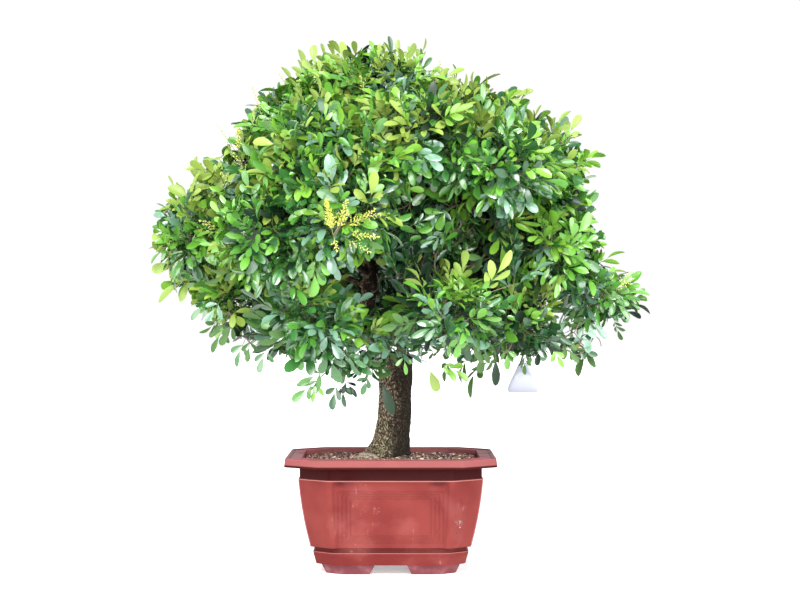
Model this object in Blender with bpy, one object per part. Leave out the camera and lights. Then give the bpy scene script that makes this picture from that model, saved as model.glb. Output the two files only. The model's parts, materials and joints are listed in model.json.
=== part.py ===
"""An aglaia bonsai in its pot: pot, soil, trunk, three leaders, boughs and masses of foliage.

Metres, +Z up, +Y away from the front. The origin is on the ground, under the middle of the plant.
Each solid keeps a gap of 0.3 mm to its neighbours.
"""

from math import cos, exp, hypot, pi, sin, sqrt

import bmesh
import bpy
from mathutils import Vector, noise
from mathutils.geometry import intersect_point_line

GAP = 0.0003

# Pot. A section is (half width, half depth, corner cut along X); CUT_SHAPE is the cut along Y over it.
POT_X = -0.013
WALL = 0.003
CUT_SHAPE = 0.70
FOOT_BOTTOM = (0.0920, 0.0560, 0.022)
FOOT_TOP = (0.0990, 0.0620, 0.024)
BAND_BOTTOM = (0.1060, 0.0670, 0.027)
BAND_TOP = (0.1105, 0.0705, 0.029)
BODY_BOTTOM = (0.1140, 0.0735, 0.030)
BODY_MIDDLE = (0.1268, 0.0862, 0.039)
BODY_TOP = (0.1310, 0.0905, 0.043)
RIM = (0.1500, 0.1100, 0.048)
FOOT_HEIGHT = 0.0145
GROOVE_LOW = 0.0325
GROOVE_HIGH = 0.0390
GROOVE_DEPTH = 0.0025
MIDDLE_HEIGHT = 0.1000
LEDGE_HEIGHT = 0.1360
NECK_INSET = 0.0020
RIM_BOTTOM = 0.1560
RIM_TOP = 0.1660
RIM_TAPER = 0.0015
FOOT_GAP_X = 0.044
FOOT_GAP_Y = 0.034
FOOT_GAP_SPLAY = 0.007
FOOT_WIDTH = 0.026

# Soil
SOIL_EDGE = 0.1580
SOIL_CROWN = 0.1635
PLATEAU = (0.0460, 0.0440, 0.018)

# Trunk: a round stem that leans from a flared foot, told by how far each value has faded at a height.
TRUNK_BASE = SOIL_CROWN + GAP
TRUNK_TOP = 0.3055
TRUNK_RADIUS = 0.0237
FLARE_RADIUS = 0.0375
FLARE_FADE = 0.018
STEM_X = -0.0065
FOOT_X = -0.0240
LEAN_FADE = 0.024
FORK_SWELL = 0.0020
LOBES = 5
LOBE_SIZE = 0.10
LOBE_FADE = 0.016
TRUNK_SIDES = 16
TRUNK_LEVELS = 10
DOME_STEPS = ((0.0050, 0.86), (0.0085, 0.55))

# Leaders: a route from inside the trunk's top, then on to the mass that each one carries.
# (name, route, radius at the foot, radius at the tip, mass)
LEADERS = (
    (
        "leader_left",
        ((-0.017, 0.000, 0.290), (-0.034, 0.000, 0.328), (-0.050, -0.002, 0.358),
         (-0.044, 0.000, 0.406), (-0.046, 0.003, 0.456), (-0.060, 0.002, 0.526)),
        0.0160, 0.0055, "mass_top_left",
    ),
    (
        "leader_right",
        ((0.0085, -0.003, 0.290), (0.006, -0.002, 0.324), (0.018, 0.003, 0.376),
         (0.030, 0.006, 0.426), (0.034, 0.005, 0.486), (0.024, 0.000, 0.551)),
        0.0080, 0.0045, "mass_top",
    ),
    (
        "leader_back",
        ((0.001, 0.017, 0.290), (0.004, 0.034, 0.336), (0.004, 0.064, 0.396),
         (0.000, 0.090, 0.456), (-0.002, 0.110, 0.506)),
        0.0085, 0.0045, "mass_back_top",
    ),
)

# Masses: (name, centre, half sizes, leader of its bough, height where the bough leaves it).
MASSES = (
    ("mass_top", (-0.030, -0.010, 0.682), (0.092, 0.110, 0.080), None, None),
    ("mass_top_left", (-0.128, 0.000, 0.638), (0.084, 0.105, 0.080), None, None),
    ("mass_top_right", (0.100, 0.000, 0.634), (0.092, 0.105, 0.072), "leader_right", 0.521),
    ("mass_upper_left", (-0.206, 0.010, 0.568), (0.082, 0.115, 0.076), "leader_left", 0.468),
    ("mass_upper_right", (0.196, 0.000, 0.568), (0.080, 0.115, 0.086), "leader_right", 0.446),
    ("mass_left_outer", (-0.286, 0.000, 0.480), (0.070, 0.100, 0.084), "leader_left", 0.406),
    ("mass_left_lower", (-0.212, 0.000, 0.384), (0.084, 0.105, 0.052), "leader_left", 0.356),
    ("mass_front_left", (-0.176, -0.165, 0.476), (0.086, 0.090, 0.080), "leader_left", 0.426),
    ("mass_front_centre", (-0.074, -0.218, 0.506), (0.076, 0.076, 0.086), "leader_left", 0.446),
    ("mass_front_upper_left", (-0.104, -0.150, 0.592), (0.082, 0.090, 0.066), "leader_left", 0.496),
    ("mass_front_upper", (0.018, -0.172, 0.608), (0.086, 0.088, 0.070), "leader_right", 0.506),
    ("mass_front_upper_right", (0.132, -0.150, 0.568), (0.082, 0.090, 0.074), "leader_right", 0.471),
    ("mass_right_middle", (0.214, -0.030, 0.468), (0.072, 0.105, 0.068), "leader_right", 0.401),
    ("mass_right_outer", (0.290, 0.000, 0.396), (0.072, 0.090, 0.046), "leader_right", 0.374),
    ("mass_right_lower", (0.166, -0.045, 0.354), (0.080, 0.090, 0.048), "leader_right", 0.351),
    ("mass_front_lower_right", (0.070, -0.165, 0.370), (0.080, 0.088, 0.060), "leader_right", 0.336),
    ("mass_front_lower_left", (-0.118, -0.135, 0.358), (0.074, 0.084, 0.058), "leader_left", 0.346),
    ("mass_front_low", (-0.050, -0.105, 0.320), (0.070, 0.062, 0.048), "leader_left", 0.324),
    ("mass_back_top", (0.000, 0.165, 0.608), (0.122, 0.094, 0.082), None, None),
    ("mass_back_left", (-0.170, 0.160, 0.496), (0.092, 0.094, 0.086), "leader_back", 0.436),
    ("mass_back_right", (0.170, 0.160, 0.496), (0.092, 0.094, 0.086), "leader_back", 0.421),
    ("mass_back_centre", (0.000, 0.222, 0.474), (0.092, 0.076, 0.080), "leader_back", 0.451),
    ("mass_back_lower_left", (-0.124, 0.158, 0.380), (0.092, 0.088, 0.050), "leader_back", 0.351),
    ("mass_back_lower_right", (0.124, 0.158, 0.380), (0.092, 0.088, 0.050), "leader_back", 0.341),
)
MASS_SEGMENTS = 16
MASS_RINGS = 9
UNEVEN = 0.16
UNEVEN_FINE = 0.07
NEIGHBOUR_REACH = 1.15
FACET_DEPTH = 0.72

# Boughs
BOUGH_RADIUS = 0.0052
BOUGH_TIP = 0.0030
BOUGH_LIFT = 0.018
BOUGH_STEPS = 7
RUN_IN = 0.010
BOUGH_SIDES = 1
LEADER_SIDES = 2
LEADER_STEPS = 2

RED_PLASTIC = (0.52, 0.10, 0.085, 1.0)
GRIT = (0.22, 0.17, 0.12, 1.0)
BARK = (0.16, 0.11, 0.075, 1.0)
LIMB_BARK = (0.24, 0.19, 0.14, 1.0)
LEAF = (0.10, 0.26, 0.05, 1.0)


def clear_scene():
    for old in list(bpy.data.objects):
        bpy.data.objects.remove(old, do_unlink=True)


def collection(name):
    made = bpy.data.collections.new(name)
    bpy.context.scene.collection.children.link(made)
    return made


def finish(name, colour, roughness):
    material = bpy.data.materials.new(name)
    material.use_nodes = True
    shader = material.node_tree.nodes["Principled BSDF"]
    shader.inputs["Base Color"].default_value = colour
    shader.inputs["Roughness"].default_value = roughness
    shader.inputs["Metallic"].default_value = 0.0
    material.diffuse_color = colour
    return material


def add_mesh(name, bm, home, material=None):
    """Closes the bmesh into an object. Without a material it is a cutter or a helper."""
    bmesh.ops.recalc_face_normals(bm, faces=bm.faces)
    mesh = bpy.data.meshes.new(name)
    bm.to_mesh(mesh)
    bm.free()
    thing = bpy.data.objects.new(name, mesh)
    home.objects.link(thing)
    if material is None:
        thing.hide_render = True
        thing.display_type = "WIRE"
    else:
        mesh.materials.append(material)
    return thing


def loft(rings):
    """A closed skin over rings of equal count, with a flat cap on the first and the last."""
    bm = bmesh.new()
    rows = [[bm.verts.new(point) for point in ring] for ring in rings]
    count = len(rows[0])
    for low, high in zip(rows, rows[1:]):
        for i in range(count):
            j = (i + 1) % count
            bm.faces.new((low[i], low[j], high[j], high[i]))
    bm.faces.new(reversed(rows[0]))
    bm.faces.new(rows[-1])
    return bm


def boolean(thing, other, operation):
    modifier = thing.modifiers.new(f"{operation.lower()}_{other.name}", "BOOLEAN")
    modifier.operation = operation
    modifier.object = other


def inset(section, distance):
    """The section with every side moved inwards; a slanted corner gets shorter as it moves."""
    half_x, half_y, cut = section
    shorter = distance * (1 + CUT_SHAPE - hypot(1, CUT_SHAPE)) / CUT_SHAPE
    return (half_x - distance, half_y - distance, cut - shorter)


def section_ring(height, section, centre_x=POT_X):
    """The eight corners of a rectangle with slanted corners, anticlockwise from above."""
    half_x, half_y, cut = section
    quarter = ((half_x, half_y - cut * CUT_SHAPE), (half_x - cut, half_y))
    corners = list(quarter)
    corners += [(-x, y) for x, y in reversed(quarter)]
    corners += [(-x, -y) for x, y in quarter]
    corners += [(x, -y) for x, y in reversed(quarter)]
    return [(centre_x + x, y, height) for x, y in corners]


def wedge(name, low, high, home):
    """A block from a lower rectangle to an upper one, each (height, half width, half depth)."""
    rings = []
    for height, half_x, half_y in (low, high):
        corners = ((half_x, half_y), (-half_x, half_y), (-half_x, -half_y), (half_x, -half_y))
        rings.append([(POT_X + x, y, height) for x, y in corners])
    return add_mesh(name, loft(rings), home)


def make_feet(cutters):
    """The foot ring, parted into four feet by two crossing gaps and hollow inside."""
    rise = WALL / 2
    feet = add_mesh(
        "feet",
        loft([section_ring(0.0, FOOT_BOTTOM), section_ring(FOOT_HEIGHT + rise, FOOT_TOP)]),
        cutters,
    )
    below = -WALL
    above = FOOT_HEIGHT + WALL
    across = 2 * FOOT_TOP[0]
    half_x = FOOT_GAP_X / 2
    half_y = FOOT_GAP_Y / 2
    splay = FOOT_GAP_SPLAY
    gap_front = wedge("gap_front", (below, half_x + splay, across), (above, half_x, across), cutters)
    gap_side = wedge("gap_side", (below, across, half_y + splay), (above, across, half_y), cutters)
    inner_x = FOOT_BOTTOM[0] - FOOT_WIDTH
    inner_y = FOOT_BOTTOM[1] - FOOT_WIDTH
    hollow = wedge("hollow", (below, inner_x, inner_y), (above, inner_x, inner_y), cutters)
    for cutter in (gap_front, gap_side, hollow):
        boolean(feet, cutter, "DIFFERENCE")
    return feet


def inner_profile():
    """(height, section) up the inside of the wall, from the floor."""
    floor = FOOT_HEIGHT + WALL
    return [
        (floor, inset(BAND_BOTTOM, WALL)),
        (GROOVE_HIGH + WALL, inset(BAND_TOP, WALL + GROOVE_DEPTH)),
        (GROOVE_HIGH + 2 * WALL, inset(BODY_BOTTOM, WALL)),
        (MIDDLE_HEIGHT, inset(BODY_MIDDLE, WALL + NECK_INSET)),
        (LEDGE_HEIGHT, inset(BODY_TOP, WALL + NECK_INSET)),
        (RIM_TOP, inset(BODY_TOP, WALL + NECK_INSET)),
    ]


def make_pot(home, cutters, material):
    neck = inset(BODY_TOP, NECK_INSET)
    profile = [
        (FOOT_HEIGHT, BAND_BOTTOM),
        (GROOVE_LOW, BAND_TOP),
        (GROOVE_LOW, inset(BAND_TOP, GROOVE_DEPTH)),
        (GROOVE_HIGH, inset(BAND_TOP, GROOVE_DEPTH)),
        (GROOVE_HIGH, BODY_BOTTOM),
        (MIDDLE_HEIGHT, BODY_MIDDLE),
        (LEDGE_HEIGHT, BODY_TOP),
        (LEDGE_HEIGHT, neck),
        (RIM_TOP - WALL, neck),
        (RIM_TOP - WALL, inset(RIM, WALL + RIM_TAPER)),
        (RIM_BOTTOM, inset(RIM, WALL)),
        (RIM_BOTTOM, RIM),
        (RIM_TOP, inset(RIM, RIM_TAPER)),
    ]
    profile += reversed(inner_profile())
    pot = add_mesh("pot", loft([section_ring(*level) for level in profile]), home, material)
    boolean(pot, make_feet(cutters), "UNION")
    return pot


def make_soil(home, material):
    """Soil up to just below the rim, rising to a flat place under the trunk."""
    floor, *wall, top = inner_profile()
    edge = (SOIL_EDGE, top[1])
    levels = [(floor[0] + GAP, floor[1])] + wall + [edge]
    rings = [section_ring(height, inset(section, GAP)) for height, section in levels]
    rings.append(section_ring(SOIL_CROWN, PLATEAU, FOOT_X))
    return add_mesh("soil", loft(rings), home, material)


def trunk_ring(height, scale=1.0, grow=0.0):
    """One level of the trunk: round, leaning, with lobes that fade above the foot."""
    rise = height - TRUNK_BASE
    top = (rise / (TRUNK_TOP - TRUNK_BASE)) ** 4
    radius = TRUNK_RADIUS + (FLARE_RADIUS - TRUNK_RADIUS) * exp(-rise / FLARE_FADE)
    radius += FORK_SWELL * min(top, 1.0)
    centre_x = STEM_X + (FOOT_X - STEM_X) * exp(-rise / LEAN_FADE)
    lobe = LOBE_SIZE * exp(-rise / LOBE_FADE)
    ring = []
    for i in range(TRUNK_SIDES):
        turn = 2 * pi * i / TRUNK_SIDES
        reach = radius * scale * (1 + lobe * cos(LOBES * turn + 0.4)) + grow
        ring.append((centre_x + reach * cos(turn), reach * sin(turn), height))
    return ring


def make_trunk(name, home, material=None, grow=0.0):
    """The trunk from its flat cut on the soil to its fork; with grow, the cutter for what leaves it."""
    rise = TRUNK_TOP - TRUNK_BASE
    steps = [(i / TRUNK_LEVELS) ** 1.4 for i in range(TRUNK_LEVELS + 1)]
    rings = [trunk_ring(TRUNK_BASE + rise * step, 1.0, grow) for step in steps]
    for up, scale in DOME_STEPS:
        rings.append(trunk_ring(TRUNK_TOP + up + grow, scale, grow))
    return add_mesh(name, loft(rings), home, material)


def limb(name, route, radii, sides, home, material=None, grow=0.0):
    """A tapering limb along the route: a round curve turned into a mesh, with its caps welded on."""
    curve = bpy.data.curves.new(name, "CURVE")
    curve.dimensions = "3D"
    curve.bevel_depth = 1.0
    curve.bevel_resolution = sides
    curve.use_fill_caps = True
    spline = curve.splines.new("POLY")
    spline.points.add(len(route) - 1)
    for point, place, radius in zip(spline.points, route, radii):
        point.co = (*place, 1.0)
        point.radius = radius + grow
    tube = bpy.data.objects.new(name, curve)
    home.objects.link(tube)
    bpy.context.view_layer.update()
    graph = bpy.context.evaluated_depsgraph_get()
    mesh = bpy.data.meshes.new_from_object(tube.evaluated_get(graph))
    bm = bmesh.new()
    bm.from_mesh(mesh)
    bmesh.ops.remove_doubles(bm, verts=bm.verts, dist=0.00001)
    bpy.data.objects.remove(tube, do_unlink=True)
    bpy.data.curves.remove(curve)
    bpy.data.meshes.remove(mesh)
    return add_mesh(name, bm, home, material)


def smooth_route(points, steps):
    """A curve through all the points, with this many steps from one to the next."""
    route = []
    last = len(points) - 1
    for i in range(last):
        before = points[max(i - 1, 0)]
        here = points[i]
        there = points[i + 1]
        after = points[min(i + 2, last)]
        for step in range(steps):
            t = step / steps
            leaving = (there - before) / 2
            arriving = (after - here) / 2
            route.append(
                here * (2 * t**3 - 3 * t**2 + 1)
                + leaving * (t**3 - 2 * t**2 + t)
                + there * (3 * t**2 - 2 * t**3)
                + arriving * (t**3 - t**2)
            )
    route.append(points[last])
    return route


def tapered(first, last, count):
    return [first + (last - first) * i / (count - 1) for i in range(count)]


def at_height(route, height):
    """The point of a rising route at this height."""
    for low, high in zip(route, route[1:]):
        if low.z <= height <= high.z:
            return low.lerp(high, (height - low.z) / (high.z - low.z))
    return route[-1]


def reach_along(half_sizes, direction):
    """How far an ellipsoid reaches along a unit direction."""
    return 1 / sqrt(sum((d / size) ** 2 for d, size in zip(direction, half_sizes)))


def facet_towards(centre, half_sizes, point):
    """The direction to the point, and how far along it the mass ends in a flat facet."""
    direction = (point - centre).normalized()
    return direction, FACET_DEPTH * reach_along(half_sizes, direction)


def neighbour_planes(name):
    """For each mass that would meet this one, the direction to it and how far this one may reach."""
    places = {row[0]: (Vector(row[1]), row[2]) for row in MASSES}
    centre, half_sizes = places.pop(name)
    planes = []
    for other, other_sizes in places.values():
        apart = (other - centre).length
        direction = (other - centre) / apart
        own = reach_along(half_sizes, direction)
        theirs = reach_along(other_sizes, direction)
        if NEIGHBOUR_REACH * (own + theirs) > apart:
            planes.append((direction, apart * own / (own + theirs) - GAP / 2))
    return planes


def nearest_on(route, radii, point):
    """The nearest place on a route's middle line, and the limb's radius there."""
    best = None
    for i in range(len(route) - 1):
        place, t = intersect_point_line(point, route[i], route[i + 1])
        t = min(max(t, 0.0), 1.0)
        place = route[i].lerp(route[i + 1], t)
        radius = max(radii[i], radii[i + 1])
        if best is None or (place - point).length < (best[0] - point).length:
            best = (place, radius)
    return best


def passing_planes(name, limbs):
    """For each limb that passes close to this mass, the direction to it and how far the mass may reach."""
    centre, half_sizes = next((Vector(row[1]), row[2]) for row in MASSES if row[0] == name)
    planes = []
    for carried, route, radii in limbs:
        place, radius = nearest_on(route, radii, centre)
        apart = (place - centre).length
        direction = (place - centre) / apart
        if carried != name and apart - radius < NEIGHBOUR_REACH * reach_along(half_sizes, direction):
            planes.append((direction, apart - radius - GAP))
    return planes


def make_mass(name, centre, half_sizes, planes, home, material):
    """An uneven closed mass, flat where it meets its bough and its neighbours."""
    bm = bmesh.new()
    bmesh.ops.create_uvsphere(bm, u_segments=MASS_SEGMENTS, v_segments=MASS_RINGS, radius=1.0)
    for vert in bm.verts:
        direction = vert.co.normalized()
        bumps = UNEVEN * noise.noise(direction * 1.9 + centre * 31)
        bumps += UNEVEN_FINE * noise.noise(direction * 4.7 + centre * 17)
        reach = reach_along(half_sizes, direction) * (1 + bumps)
        for normal, distance in planes:
            towards = direction.dot(normal)
            if towards > 0.001:
                reach = min(reach, distance / towards)
        vert.co = centre + direction * reach
    return add_mesh(name, bm, home, material)


def main():
    clear_scene()
    home = collection("aglaia_bonsai")
    cutters = collection("cutters")
    plastic = finish("red_plastic", RED_PLASTIC, 0.42)
    grit = finish("grit", GRIT, 0.95)
    bark = finish("bark", BARK, 0.88)
    limb_bark = finish("limb_bark", LIMB_BARK, 0.85)
    leaf = finish("leaf", LEAF, 0.50)

    make_pot(home, cutters, plastic)
    make_soil(home, grit)
    make_trunk("trunk", home, bark)
    trunk_cutter = make_trunk("trunk_cutter", cutters, grow=GAP)

    facets = {}
    limbs = []
    places = {row[0]: (Vector(row[1]), row[2]) for row in MASSES}

    routes = {}
    leader_cutters = {}
    for name, points, foot_radius, tip_radius, carried in LEADERS:
        points = [Vector(point) for point in points]
        centre, half_sizes = places[carried]
        direction, reach = facet_towards(centre, half_sizes, points[-1])
        facets[carried] = (direction, reach)
        end = centre + direction * (reach + GAP)
        points.append(end + direction * RUN_IN)
        route = smooth_route(points, LEADER_STEPS) + [end]
        radii = tapered(foot_radius, tip_radius, len(route))
        leader = limb(name, route, radii, LEADER_SIDES, home, bark)
        boolean(leader, trunk_cutter, "DIFFERENCE")
        leader_cutters[name] = limb(f"{name}_cutter", route, radii, LEADER_SIDES, cutters, grow=GAP)
        routes[name] = route
        limbs.append((carried, route, radii))

    for name, centre, half_sizes, leader, height in MASSES:
        if leader is None:
            continue
        centre = Vector(centre)
        start = at_height(routes[leader], height)
        bend = start.lerp(centre, 0.45) + Vector((0, 0, BOUGH_LIFT))
        direction, reach = facet_towards(centre, half_sizes, bend)
        facets[name] = (direction, reach)
        end = centre + direction * (reach + GAP)
        arrival = end + direction * RUN_IN
        route = []
        for i in range(BOUGH_STEPS):
            t = i / (BOUGH_STEPS - 1)
            route.append(start * (1 - t) ** 2 + bend * 2 * t * (1 - t) + arrival * t**2)
        route.append(end)
        radii = tapered(BOUGH_RADIUS, BOUGH_TIP, len(route))
        bough = limb(name.replace("mass", "bough"), route, radii, BOUGH_SIDES, home, limb_bark)
        boolean(bough, leader_cutters[leader], "DIFFERENCE")
        limbs.append((name, route, radii))

    for name, centre, half_sizes, _, _ in MASSES:
        planes = neighbour_planes(name) + passing_planes(name, limbs) + [facets[name]]
        make_mass(name, Vector(centre), half_sizes, planes, home, leaf)


main()
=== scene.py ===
# %% [markdown]
# # A leafy bonsai in a footed pot
# A small garden tree grown in a moulded plastic pot. A leaning trunk forks low into
# many boughs, and the boughs carry a broad dome of glossy compound leaves. The frame
# holds the tree's plain solids: pot, soil, trunk, boughs and one closed mass for each
# part of the crown. This script dresses that frame. Bark, twigs, leaves, blossom and
# the pot's relief are grown or modelled here, inside the space that the solids hold.

import json
import math

import bmesh
import bpy
import numpy as np
from mathutils import Matrix, Quaternion, Vector, noise
from mathutils.bvhtree import BVHTree

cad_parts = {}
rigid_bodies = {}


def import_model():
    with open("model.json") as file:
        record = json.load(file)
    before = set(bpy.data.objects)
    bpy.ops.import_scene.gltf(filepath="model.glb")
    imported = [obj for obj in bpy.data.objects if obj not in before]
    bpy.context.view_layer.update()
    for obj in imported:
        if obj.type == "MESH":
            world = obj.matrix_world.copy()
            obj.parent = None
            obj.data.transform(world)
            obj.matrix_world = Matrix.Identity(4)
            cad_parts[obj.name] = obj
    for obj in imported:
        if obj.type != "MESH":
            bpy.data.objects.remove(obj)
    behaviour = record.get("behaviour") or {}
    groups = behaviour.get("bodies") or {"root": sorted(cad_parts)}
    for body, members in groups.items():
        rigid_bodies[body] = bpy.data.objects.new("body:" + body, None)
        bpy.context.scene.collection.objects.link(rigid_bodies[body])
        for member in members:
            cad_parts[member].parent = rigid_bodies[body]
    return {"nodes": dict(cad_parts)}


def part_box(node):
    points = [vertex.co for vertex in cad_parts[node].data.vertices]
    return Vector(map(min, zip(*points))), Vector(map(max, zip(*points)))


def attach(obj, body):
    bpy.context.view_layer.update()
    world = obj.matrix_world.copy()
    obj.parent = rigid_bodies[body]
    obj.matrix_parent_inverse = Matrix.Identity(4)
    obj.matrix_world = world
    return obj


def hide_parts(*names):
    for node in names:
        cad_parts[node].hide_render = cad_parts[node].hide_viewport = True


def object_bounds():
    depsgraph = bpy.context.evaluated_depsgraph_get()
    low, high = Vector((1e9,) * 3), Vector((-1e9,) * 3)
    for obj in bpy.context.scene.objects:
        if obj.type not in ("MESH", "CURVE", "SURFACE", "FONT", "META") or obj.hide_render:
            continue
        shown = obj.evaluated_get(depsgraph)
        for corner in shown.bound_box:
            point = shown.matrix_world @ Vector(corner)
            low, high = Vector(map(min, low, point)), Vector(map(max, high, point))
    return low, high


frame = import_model()
frame_box = [list(corner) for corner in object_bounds()]
UP = Vector((0, 0, 1))
MM = 0.001
print("frame box in metres:", [[round(v, 4) for v in corner] for corner in frame_box])

# %% [markdown]
# ## Small helpers
# Most pieces end the same way: a mesh at the origin, a material in its slot, and the
# frame's solids that it replaces hidden. Colours are given as on a screen, in steps of
# 0 to 255, so one helper turns them into the linear light that shaders use.


# %% Helpers for colours, meshes and finished pieces
def tone(red, green, blue):
    """A screen colour in steps of 255 as linear light with full opacity."""
    steps = [c / 255 for c in (red, green, blue)]
    linear = [c / 12.92 if c <= 0.04045 else ((c + 0.055) / 1.055) ** 2.4 for c in steps]
    return (*linear, 1.0)


def mesh_object(name, vertices, faces=(), edges=()):
    """A smooth-shaded mesh object from plain lists, linked to the scene."""
    mesh = bpy.data.meshes.new(name)
    mesh.from_pydata([tuple(v) for v in vertices], edges, faces)
    mesh.update()
    mesh.shade_smooth()
    obj = bpy.data.objects.new(name, mesh)
    bpy.context.scene.collection.objects.link(obj)
    return obj


def keep(obj, slot, *nodes):
    """Finishes a piece: it rides on the plant and hides what it replaces; slot is not used."""
    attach(obj, "root")
    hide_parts(*nodes)
    obj.data.calc_loop_triangles()
    print(f"{obj.name}: {len(obj.data.loop_triangles)} triangles for {len(nodes)} solids")


def numbers(mesh, name, kind, values):
    """Stores one value, vector or rotation for each point of a mesh."""
    layer = mesh.attributes.new(name, kind, "POINT")
    label = "vector" if kind == "FLOAT_VECTOR" else "value"
    values = np.asarray(values, np.int32 if kind == "INT" else np.float32)
    layer.data.foreach_set(label, values.ravel())


def joined(parts):
    """One list of vertices and one of faces from several such pairs."""
    vertices, faces = [], []
    for part_vertices, part_faces in parts:
        faces += [tuple(i + len(vertices) for i in face) for face in part_faces]
        vertices += part_vertices
    return vertices, faces


def bridged(rows, count):
    """Faces between rows of points that each run round in a ring of count points."""
    ring_edges = [(i, (i + 1) % count) for i in range(count)]
    starts = [row * count for row in range(rows - 1)]
    return [(s + a, s + b, s + b + count, s + a + count) for s in starts for a, b in ring_edges]


print("a mid grey in linear light:", [round(v, 3) for v in tone(128, 128, 128)])


# %% [markdown]
# ## Shaders
# A material here is always one Principled shader. What is the same all over the
# surface is set on the shader itself. What changes over the surface comes from small
# groups of nodes with named sockets, so the same mottle or grain can serve the bark,
# the soil and the pot with other values.


# %% Helpers for materials and node groups
def shader(name, color, roughness, **settings):
    """A new material, its tree and its Principled shader with plain values set."""
    material = bpy.data.materials.new(name)
    material.use_nodes = True
    tree = material.node_tree
    principled = tree.nodes["Principled BSDF"]
    principled.inputs["Base Color"].default_value = color
    principled.inputs["Roughness"].default_value = roughness
    for label, value in settings.items():
        principled.inputs[label.replace("_", " ")].default_value = value
    material.diffuse_color = color
    return material, tree, principled


def node(tree, kind, settings=None, **inputs):
    """Adds a node, sets its properties and fills or links its named inputs."""
    made = tree.nodes.new(kind)
    for label, value in (settings or {}).items():
        setattr(made, label, value)
    for label, value in inputs.items():
        numbered = label[0] == "i" and label[1:].isdigit()
        socket = made.inputs[int(label[1:]) if numbered else label.replace("_", " ")]
        if isinstance(value, bpy.types.NodeSocket):
            tree.links.new(value, socket)
        else:
            socket.default_value = value
    return made


def worked_out(tree, operation, *values, clamp=False):
    """The result of one maths node on one or two values."""
    settings = {"operation": operation, "use_clamp": clamp}
    inputs = {f"i{i}": value for i, value in enumerate(values)}
    return node(tree, "ShaderNodeMath", settings, **inputs).outputs[0]


def group(name, kind, inputs, outputs):
    """An empty node group with named sockets, and its input and output nodes."""
    tree = bpy.data.node_groups.new(name, kind)
    for direction, sockets in (("INPUT", inputs), ("OUTPUT", outputs)):
        for label, socket_type, *default in sockets:
            socket = tree.interface.new_socket(label, in_out=direction, socket_type=socket_type)
            if default:
                socket.default_value = default[0]
    return tree, tree.nodes.new("NodeGroupInput"), tree.nodes.new("NodeGroupOutput")


print("the frame's own materials:", len(bpy.data.materials))


# %% [markdown]
# ## Geometry trees
# A tree of geometry nodes repeats a shape or sweeps a profile far faster than a loop.
# Each tree is built once. A modifier reads it with its inputs set by the socket's
# identifier, and the result is turned into a plain mesh, because instances would be
# lost when the model leaves Blender.


# %% Helpers for geometry trees
FLOAT, INTEGER, GEOMETRY = "NodeSocketFloat", "NodeSocketInt", "NodeSocketGeometry"
POINT_VALUES = (("turn", "QUATERNION"), ("size", "FLOAT_VECTOR"), ("shape", "INT"), ("tint", "INT"))


def grown(obj, tree, name, **values):
    """The plain mesh that a geometry tree makes of obj, as a new object; obj is removed."""
    modifier = obj.modifiers.new(tree.name, "NODES")
    modifier.node_group = tree
    for item in tree.interface.items_tree:
        key = item.name.replace(" ", "_")
        if item.in_out == "INPUT" and key in values:
            modifier[item.identifier] = values[key]
    evaluated = obj.evaluated_get(bpy.context.evaluated_depsgraph_get())
    mesh = bpy.data.meshes.new_from_object(evaluated)
    mesh.name = name
    obj.modifiers.remove(modifier)
    bpy.data.objects.remove(obj)
    result = bpy.data.objects.new(name, mesh)
    bpy.context.scene.collection.objects.link(result)
    return result


def stored(tree, label, kind):
    """A value that is kept on the points under a label."""
    return node(tree, "GeometryNodeInputNamedAttribute", {"data_type": kind}, Name=label).outputs[0]


def tube_tree(material):
    """Sweeps a round profile along every edge of a mesh, as thick as its radius says."""
    tree, source, sink = group(
        f"tubes_of_{material.name}",
        "GeometryNodeTree",
        (("Geometry", GEOMETRY), ("Sides", INTEGER, 5)),
        (("Geometry", GEOMETRY),),
    )
    thickness = stored(tree, "thickness", "FLOAT")
    curves = node(tree, "GeometryNodeMeshToCurve", Mesh=source.outputs["Geometry"])
    sides = source.outputs["Sides"]
    profile = node(tree, "GeometryNodeCurvePrimitiveCircle", Resolution=sides, Radius=1.0)
    swept = node(
        tree,
        "GeometryNodeCurveToMesh",
        Curve=curves.outputs[0],
        Profile_Curve=profile.outputs[0],
        Scale=thickness,
        Fill_Caps=True,
    )
    plain = node(tree, "GeometryNodeRealizeInstances", Geometry=swept.outputs[0])
    smooth = node(tree, "GeometryNodeSetShadeSmooth", Geometry=plain.outputs[0])
    painted = node(tree, "GeometryNodeSetMaterial", Geometry=smooth.outputs[0], Material=material)
    tree.links.new(painted.outputs[0], sink.inputs["Geometry"])
    return tree


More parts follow.
